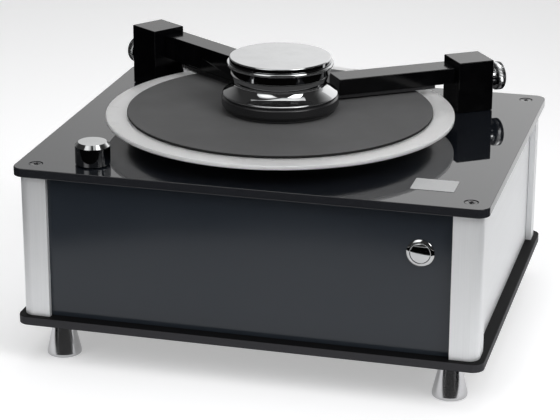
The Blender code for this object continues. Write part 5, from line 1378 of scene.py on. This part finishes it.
strips = [
    slab(f"lip_{i}", size, centre, suction_place, "suction_carrier", radius, edge)
    for i, (size, centre, radius, edge) in enumerate(lips())
]
lip_piece = join_pieces("suction_lips_velvet", strips)
lip_piece.data.shade_smooth()
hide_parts("suction_lips")
finish_with(lip_piece, "black_felt")
print("bars and strips in the lips:", len(strips))

# %% [markdown]
# ## The brush
# The brush is a strip with rows of fine nylon strands that end just above the mat. One strand is a thin
# tapered tube of six sides. Each strand leans a little, by a sine of its number, so that the tips don't
# stand like soldiers. The whole field is computed as one array: strand, ring and side.

# %% Brush
BRUSH_SHIFT = 5.8 * MM
BRUSH_REACH = 127.97 * MM
BRUSH_END = 3.0 * MM
BRUSH_TOP = 29.0 * MM - 0.3 * MM
STRIP_LENGTH = 89.97 * MM
STRIP_WIDTH = 15.0 * MM
STRIP_HEIGHT = 2.2 * MM
STRIP_CORNER = 0.8 * MM
STRIP_EDGE = 0.3 * MM
STRAND_ROWS = 14
STRAND_COLUMNS = 96
STRAND_SIDES = 6
STRAND_SHARES = np.array([0.0, 0.5, 1.0])
STRAND_RADIUS = 0.26 * MM
STRAND_TIP_SHARE = 0.55
STRAND_LEAN = 0.35 * MM
STRAND_ROOT = BRUSH_TOP - STRIP_HEIGHT + 0.3 * MM
STRAND_SHARP_DEG = 60.0
TIP_LEVEL = MAT_TOP + 0.5 * MM
TIP_SPREAD = 0.3 * MM
FIELD_LENGTH = STRIP_LENGTH - 3.0 * MM
FIELD_WIDTH = STRIP_WIDTH - 2.0 * MM
STAGGER = 0.5
LEAN_X_WAVE = 12.9898
LEAN_Y_WAVE = 78.233
TIP_WAVE = 37.719


def strands():
    """Points of every strand: its place in the strip plus a ring whose radius shrinks towards the tip."""
    columns = np.arange(STRAND_COLUMNS)
    rows = np.arange(STRAND_ROWS)
    row, column = np.meshgrid(rows, columns, indexing="ij")
    along = column + STAGGER * (row % 2) - STRAND_COLUMNS / 2 + STAGGER / 2
    across = row - (STRAND_ROWS - 1) / 2
    x = along * (FIELD_LENGTH / STRAND_COLUMNS)
    y = across * (FIELD_WIDTH / (STRAND_ROWS - 1))
    number = row * STRAND_COLUMNS + column
    lean_x = STRAND_LEAN * np.sin(number * LEAN_X_WAVE)
    lean_y = STRAND_LEAN * np.sin(number * LEAN_Y_WAVE)
    tip = TIP_LEVEL + TIP_SPREAD * np.abs(np.sin(number * TIP_WAVE))
    x, y, lean_x, lean_y, tip = (v.ravel()[:, None, None] for v in (x, y, lean_x, lean_y, tip))
    share = STRAND_SHARES[None, :, None]
    angle = np.linspace(0, 2 * np.pi, STRAND_SIDES, endpoint=False)[None, None, :]
    radius = STRAND_RADIUS * (1 - (1 - STRAND_TIP_SHARE) * share)
    px = x + lean_x * share ** 2 + radius * np.cos(angle)
    py = y + lean_y * share ** 2 + radius * np.sin(angle)
    pz = STRAND_ROOT + (tip - STRAND_ROOT) * share + np.zeros_like(px)
    return np.stack([px, py, pz], axis=-1)


def brush_head():
    middle = np.array([BRUSH_REACH - BRUSH_END - STRIP_LENGTH / 2, BRUSH_SHIFT, 0.0])
    field = strands() + middle
    rings = len(STRAND_SHARES)
    first = np.arange(len(field))[:, None] * rings * STRAND_SIDES
    side = np.arange(STRAND_SIDES)[None, :]
    tube = np.array(grid_faces(rings, STRAND_SIDES, False, True))
    quads = (tube[None, :, :] + first[:, :, None]).reshape(-1, 4).tolist()
    tips = (first + (rings - 1) * STRAND_SIDES + side[:, ::-1]).tolist()
    roots = (first + side).tolist()
    points = moved(field.reshape(-1, 3), brush_place)
    faces = quads + tips + roots
    made = new_piece("brush_strands", points, faces, "brush_carrier", STRAND_SHARP_DEG)
    size = (STRIP_LENGTH, STRIP_WIDTH, STRIP_HEIGHT)
    centre = (middle[0], BRUSH_SHIFT, BRUSH_TOP - STRIP_HEIGHT / 2)
    back = slab("brush_back", size, centre, brush_place, "brush_carrier", STRIP_CORNER, STRIP_EDGE)
    finish_with(back, "black_bristles", "satin_black_plastic")
    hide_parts("brush_head")
    finish_with(made, "black_bristles")


brush_head()
print("strands in the brush:", STRAND_ROWS * STRAND_COLUMNS)

# %% [markdown]
# ## Thumb knobs
# Each post has a chromed thumb screw on its outer face: a smooth hub and a disc with a fine straight
# knurl. The knurl is a ripple of the disc's radius: -d (0.5 - 0.5 cos(n a)), only where the radius is the
# full one.

# %% Thumb knobs
THUMB_LEVEL = 26.5 * MM
THUMB_FACE = -(16.7 * MM + 0.3 * MM)
THUMB_HUB = 8.0 * MM
THUMB_HUB_LENGTH = 7.8 * MM
THUMB_HUB_EASE = 0.4 * MM
THUMB_ROOT_EASE = 0.6 * MM
THUMB_DISC = 12.6 * MM
THUMB_DISC_THICKNESS = 7.2 * MM
THUMB_OUTER = THUMB_HUB_LENGTH + THUMB_DISC_THICKNESS
THUMB_SLOPE = 0.9 * MM
THUMB_EASE = 0.3 * MM
DISH_CORE = 4.0 * MM
DISH_RADIUS = 8.6 * MM
DISH_RIM = 9.2 * MM
DISH_DEPTH = 0.5 * MM
THREAD_RADIUS = 2.4 * MM
THREAD_LENGTH = 6.6 * MM
THUMB_TURN = 480
KNURL_COUNT = 60
KNURL_DEPTH = 0.45 * MM
KNURL_FROM = THUMB_DISC - 0.25 * MM


def knurl(radius, height, angle):
    depth = KNURL_DEPTH * (0.5 - 0.5 * np.cos(KNURL_COUNT * angle))
    return np.where(radius > KNURL_FROM, -depth, 0.0)


def thumb_knob(node, place, body):
    profile = [
        (DISH_CORE, THUMB_OUTER - DISH_DEPTH),
        (DISH_RADIUS, THUMB_OUTER - DISH_DEPTH, THUMB_EASE),
        (DISH_RIM, THUMB_OUTER, THUMB_EASE),
        (THUMB_DISC - THUMB_SLOPE, THUMB_OUTER, THUMB_EASE),
        (THUMB_DISC, THUMB_OUTER - THUMB_SLOPE),
        (THUMB_DISC, THUMB_HUB_LENGTH + THUMB_SLOPE),
        (THUMB_DISC - THUMB_SLOPE, THUMB_HUB_LENGTH, THUMB_EASE),
        (THUMB_HUB, THUMB_HUB_LENGTH, THUMB_ROOT_EASE),
        (THUMB_HUB, 0.0, THUMB_HUB_EASE),
        (THREAD_RADIUS, 0.0),
        (THREAD_RADIUS, -THREAD_LENGTH, THUMB_EASE),
        (CORE, -THREAD_LENGTH),
    ]
    tilt = Matrix.Translation((THUMB_FACE, 0, THUMB_LEVEL)) @ Matrix.Rotation(-math.pi / 2, 4, "Y")
    made = turned(node + "_knurled", profile, place @ tilt, body, THUMB_TURN, ripple=knurl)
    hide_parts(node)
    finish_with(made, "chromed_controls")


thumb_knob("suction_knob", suction_place, "suction_lock")
thumb_knob("brush_knob", brush_place, "brush_lock")
print("grooves in each knurl:", KNURL_COUNT)

# %% [markdown]
# ## The selector knob
# A plain polished cylinder with a wide chamfer at the top and a small one at the bottom. The chamfer
# catches the softboxes as a broken bright collar, which is why it stays crisp.

# %% Selector
KNOB_FACE = 11.9 * MM
KNOB_RADIUS = 14.6 * MM
KNOB_FOOT = 13.6 * MM
KNOB_CORE = 4.0 * MM
KNOB_SLOPE = 3.2 * MM
KNOB_SLOPE_EASE = 0.25 * MM
KNOB_FOOT_SLOPE = 1.0 * MM
KNOB_SIDE_EASE = 0.2 * MM
KNOB_FOOT_EASE = 0.1 * MM
KNOB_BORE = 3.3 * MM
KNOB_BORE_DEPTH = 12.0 * MM

selector_low, selector_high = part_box("selector_knob")
selector_foot = selector_low.z - DECK
selector_top = selector_high.z - DECK
profile = [
    (KNOB_CORE, selector_top),
    (KNOB_FACE, selector_top, KNOB_SLOPE_EASE),
    (KNOB_RADIUS, selector_top - KNOB_SLOPE, KNOB_SLOPE_EASE),
    (KNOB_RADIUS, selector_foot + KNOB_FOOT_SLOPE, KNOB_SIDE_EASE),
    (KNOB_FOOT, selector_foot, KNOB_FOOT_EASE),
    (KNOB_BORE, selector_foot),
    (KNOB_BORE, selector_foot + KNOB_BORE_DEPTH),
    (CORE, selector_foot + KNOB_BORE_DEPTH),
]
selector = turned("selector_knob_turned", profile, Matrix.Translation(SELECTOR), "selector", CONTROL_TURN)
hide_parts("selector_knob")
finish_with(selector, "chromed_controls")
print("selector's top above the deck in mm:", round(selector_top / MM, 1))

# %% [markdown]
# ## The power button
# A chromed button sits in a chromed bezel, and both are gently domed. The dome is why the button's lower
# half mirrors the pale floor and its upper half the dark room. A dome over the radius r has the height
# h = H - sag (r / R)^2, and the bezel's crown is the same curve over its width.

# %% Power button
POWER_AXIS_SETBACK = 9.8 * MM
BUTTON_RADIUS = 8.1 * MM
BUTTON_EDGE = 1.7 * MM
BUTTON_CROWN = 2.6 * MM
BUTTON_DEPTH = 4.4 * MM
BUTTON_SLOPE = 0.2 * MM
BUTTON_STEPS = 28
BEZEL_RADIUS = 11.4 * MM
BEZEL_BORE = 8.35 * MM
BEZEL_CROWN = 1.8 * MM
BEZEL_FLANGE = 0.3 * MM
BEZEL_BARREL = 9.4 * MM
BEZEL_DEPTH = 11.0 * MM
BEZEL_MOUTH = BEZEL_CROWN - 0.1 * MM
BEZEL_CROWN_FROM = BEZEL_BORE + 0.15 * MM
BEZEL_RIM = BEZEL_FLANGE + 0.25 * MM
BEZEL_STEPS = 20

bezel_low, bezel_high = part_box("power_bezel")
front_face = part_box("top_plate")[0].y + POWER_AXIS_SETBACK
power_spot = Vector(((bezel_low.x + bezel_high.x) / 2, front_face, (bezel_low.z + bezel_high.z) / 2))
power_place = Matrix.Translation(power_spot) @ Matrix.Rotation(math.pi / 2, 4, "X")


def crown(first, last, top, foot, count):
    """Points of a dome from one radius to another: the height falls with the square of the way."""
    s = np.linspace(0, 1, count)
    radius = first + (last - first) * s
    height = top - (top - foot) * s * s
    return list(zip(radius.tolist(), height.tolist()))


profile = [(BEZEL_BORE, BEZEL_FLANGE), (BEZEL_BORE, BEZEL_MOUTH)]
profile += crown(BEZEL_CROWN_FROM, BEZEL_RADIUS, BEZEL_CROWN, BEZEL_RIM, BEZEL_STEPS)
profile += [
    (BEZEL_RADIUS, BEZEL_FLANGE),
    (BEZEL_BARREL, BEZEL_FLANGE),
    (BEZEL_BARREL, -BEZEL_DEPTH),
    (BEZEL_BORE, -BEZEL_DEPTH),
]
bezel = turned("power_bezel_turned", profile, power_place, "housing", CONTROL_TURN, hollow=True)
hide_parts("power_bezel")
finish_with(bezel, "chromed_controls")
profile = crown(FINE_CORE, BUTTON_RADIUS - BUTTON_SLOPE, BUTTON_CROWN, BUTTON_EDGE, BUTTON_STEPS)
profile += [
    (BUTTON_RADIUS, BUTTON_EDGE - BUTTON_SLOPE),
    (BUTTON_RADIUS, -BUTTON_DEPTH),
    (FINE_CORE, -BUTTON_DEPTH),
]
button = turned("power_button_turned", profile, power_place, "power", CONTROL_TURN)
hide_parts("power_button")
finish_with(button, "chromed_controls")
print("the button's crown in mm:", round(BUTTON_CROWN / MM, 2))

# %% [markdown]
# ## The bare plate on the deck
# By the front right corner a thin satin plate lies on the deck. Its edge has a bevel of a tenth of a
# millimetre, which catches the light.

# %% Bare plate
PLATE_SPOT = (0.1464, -0.1120)
PLATE_SIZE = (35.5 * MM, 27.0 * MM, 0.3 * MM)
BARE_CORNER = 0.6 * MM
BARE_EDGE = 0.1 * MM

bare_centre = (*PLATE_SPOT, DECK + PLATE_SIZE[2] / 2)
bare = slab("deck_plate", PLATE_SIZE, bare_centre, Matrix.Identity(4), "housing", BARE_CORNER, BARE_EDGE)
finish_with(bare, "brushed_aluminium", "satin_plate")
print("bare plate in mm:", [round(side / MM, 1) for side in PLATE_SIZE])

# %% [markdown]
# ## Studio
# The floor is pale and plain. Behind the machine the room is bright and a wide softbox stands: the deck,
# the arms and the clamp's disc mirror both, because a level surface mirrors what is behind it. The room
# is darker towards the left, which gives the deck its slope of grey. Two softboxes with grids hang high
# in front, to the left and to the right, and a third hangs overhead. Round the machine lies a black cloth
# that only mirrors see, open behind on the right, so the upright faces and the polished metal stay black
# where nothing bright stands before them. To the camera the floor is a little brighter than the lamps
# make it, and the shadow stays.

# %% Floor
FLOOR_SIZE = 40.0
FLOOR_GLOW = 0.42
CLOTH_INNER = 0.455
CLOTH_SHIFT = 0.042
CLOTH_OUTER = 4.0
CLOTH_LEVEL = 0.5 * MM
CLOTH_FROM = math.radians(-258)
CLOTH_TO = math.radians(36)
CLOTH_STEPS = 96


def flat_stage(name, points, faces, finish):
    """A mesh that belongs to the studio and not to the machine."""
    mesh = bpy.data.meshes.new(name)
    mesh.from_pydata(points, [], faces)
    made = bpy.data.objects.new(name, mesh)
    bpy.context.scene.collection.objects.link(made)
    made.data.materials.append(finish.material)
    return made


def floor():
    """A square floor. Camera, glossy and transmission rays see a little glow on top of its own light."""
    half = FLOOR_SIZE / 2
    finish = Finish("studio_floor", (0.80, 0.80, 0.81), 0.9)
    finish.put("Specular IOR Level", 0.1)
    camera, glossy, transmission = (
        finish.node("ShaderNodeLightPath", out=kind)
        for kind in ("Is Camera Ray", "Is Glossy Ray", "Is Transmission Ray")
    )
    seen = (camera + glossy + transmission).clipped(0.0, 1.0)
    finish.put("Emission Color", finish.blended(seen, (0.0, 0.0, 0.0), (1.0, 1.0, 1.0)))
    finish.put("Emission Strength", FLOOR_GLOW)
    corners = [(-half, -half, 0), (half, -half, 0), (half, half, 0), (-half, half, 0)]
    flat_stage("floor", corners, [(0, 1, 2, 3)], finish)


def black_cloth():
    """A flat open ring round the set, at radius r and angle a: (r cos a, r sin a), seen by mirrors alone."""
    angle = np.linspace(CLOTH_FROM, CLOTH_TO, CLOTH_STEPS)
    level = np.full(CLOTH_STEPS, CLOTH_LEVEL)
    rows = [
        np.stack([r * np.cos(angle), r * np.sin(angle) - CLOTH_SHIFT, level], axis=-1)
        for r in (CLOTH_INNER, CLOTH_OUTER)
    ]
    finish = Finish("black_cloth", (0.004, 0.004, 0.004), 1.0)
    finish.put("Specular IOR Level", 0.0)
    faces = grid_faces(2, CLOTH_STEPS, False, False)
    made = flat_stage("black_cloth", np.vstack(rows).tolist(), faces, finish)
    made.visible_camera = False
    made.visible_diffuse = False
    made.visible_shadow = False


floor()
black_cloth()
print("floor in metres:", FLOOR_SIZE)

# %% [markdown]
# Each lamp has its place, its width and height in metres, its power in watts, and the cone in degrees to
# which its grid narrows the light. A lamp without a grid has 180.

# %% Lamps
LAMP_AIM = (0.0, 0.0, 0.1)
LAMPS = {
    "softbox_behind": ((0.2, 2.2, 0.75), (3.0, 1.3), 6.2, 180.0),
    "softbox_left": ((-0.68, -1.40, 1.45), (1.3, 1.8), 2.2, 60.0),
    "softbox_right": ((1.33, -0.78, 1.45), (0.9, 1.5), 3.3, 60.0),
    "softbox_top": ((0.1, 0.12, 2.0), (2.2, 1.5), 4.4, 80.0),
}


def softbox(name, place, size, power, grid_deg):
    """A rectangular lamp that points at the machine."""
    data = bpy.data.lights.new(name, "AREA")
    data.shape = "RECTANGLE"
    data.size, data.size_y = size
    data.energy = power
    data.spread = math.radians(grid_deg)
    lamp = bpy.data.objects.new(name, data)
    lamp.location = place
    lamp.rotation_euler = (Vector(LAMP_AIM) - Vector(place)).to_track_quat("-Z", "Y").to_euler()
    bpy.context.scene.collection.objects.link(lamp)


for name, settings in LAMPS.items():
    softbox(name, *settings)
print("lamps:", list(LAMPS))

# %% [markdown]
# The room itself is a brightness by direction: a weak fill everywhere, and more of it low down behind,
# rising to the right.

# %% World
FILL = 0.05
BEHIND = 0.25
RIGHT_BEHIND = 0.70


def studio_world():
    """The room's brightness, from the direction in which a ray leaves."""
    world = bpy.data.worlds.new("studio")
    bpy.context.scene.world = world
    world.use_nodes = True
    maker = NodeTree(world.node_tree)
    where = maker.node("ShaderNodeTexCoord", out="Generated")
    along_x, along_y, along_z = (
        maker.node("ShaderNodeSeparateXYZ", None, {0: where}, axis) for axis in "XYZ"
    )
    low_band = along_z.clipped(0.45, 0.75, 1.0, 0.0)
    behind = along_y.clipped(0.3, 0.8, 0.0, BEHIND)
    slope = along_x.clipped(-0.40, -0.10, 0.0, RIGHT_BEHIND) * along_y.clipped(0.5, 0.85)
    background = world.node_tree.nodes["Background"]
    background.inputs["Color"].default_value = (1.0, 1.0, 1.0, 1.0)
    maker.join(background.inputs["Strength"], (behind + slope) * low_band + FILL)


studio_world()
bpy.context.scene.view_settings.view_transform = "Standard"
print("fill of the room:", FILL)
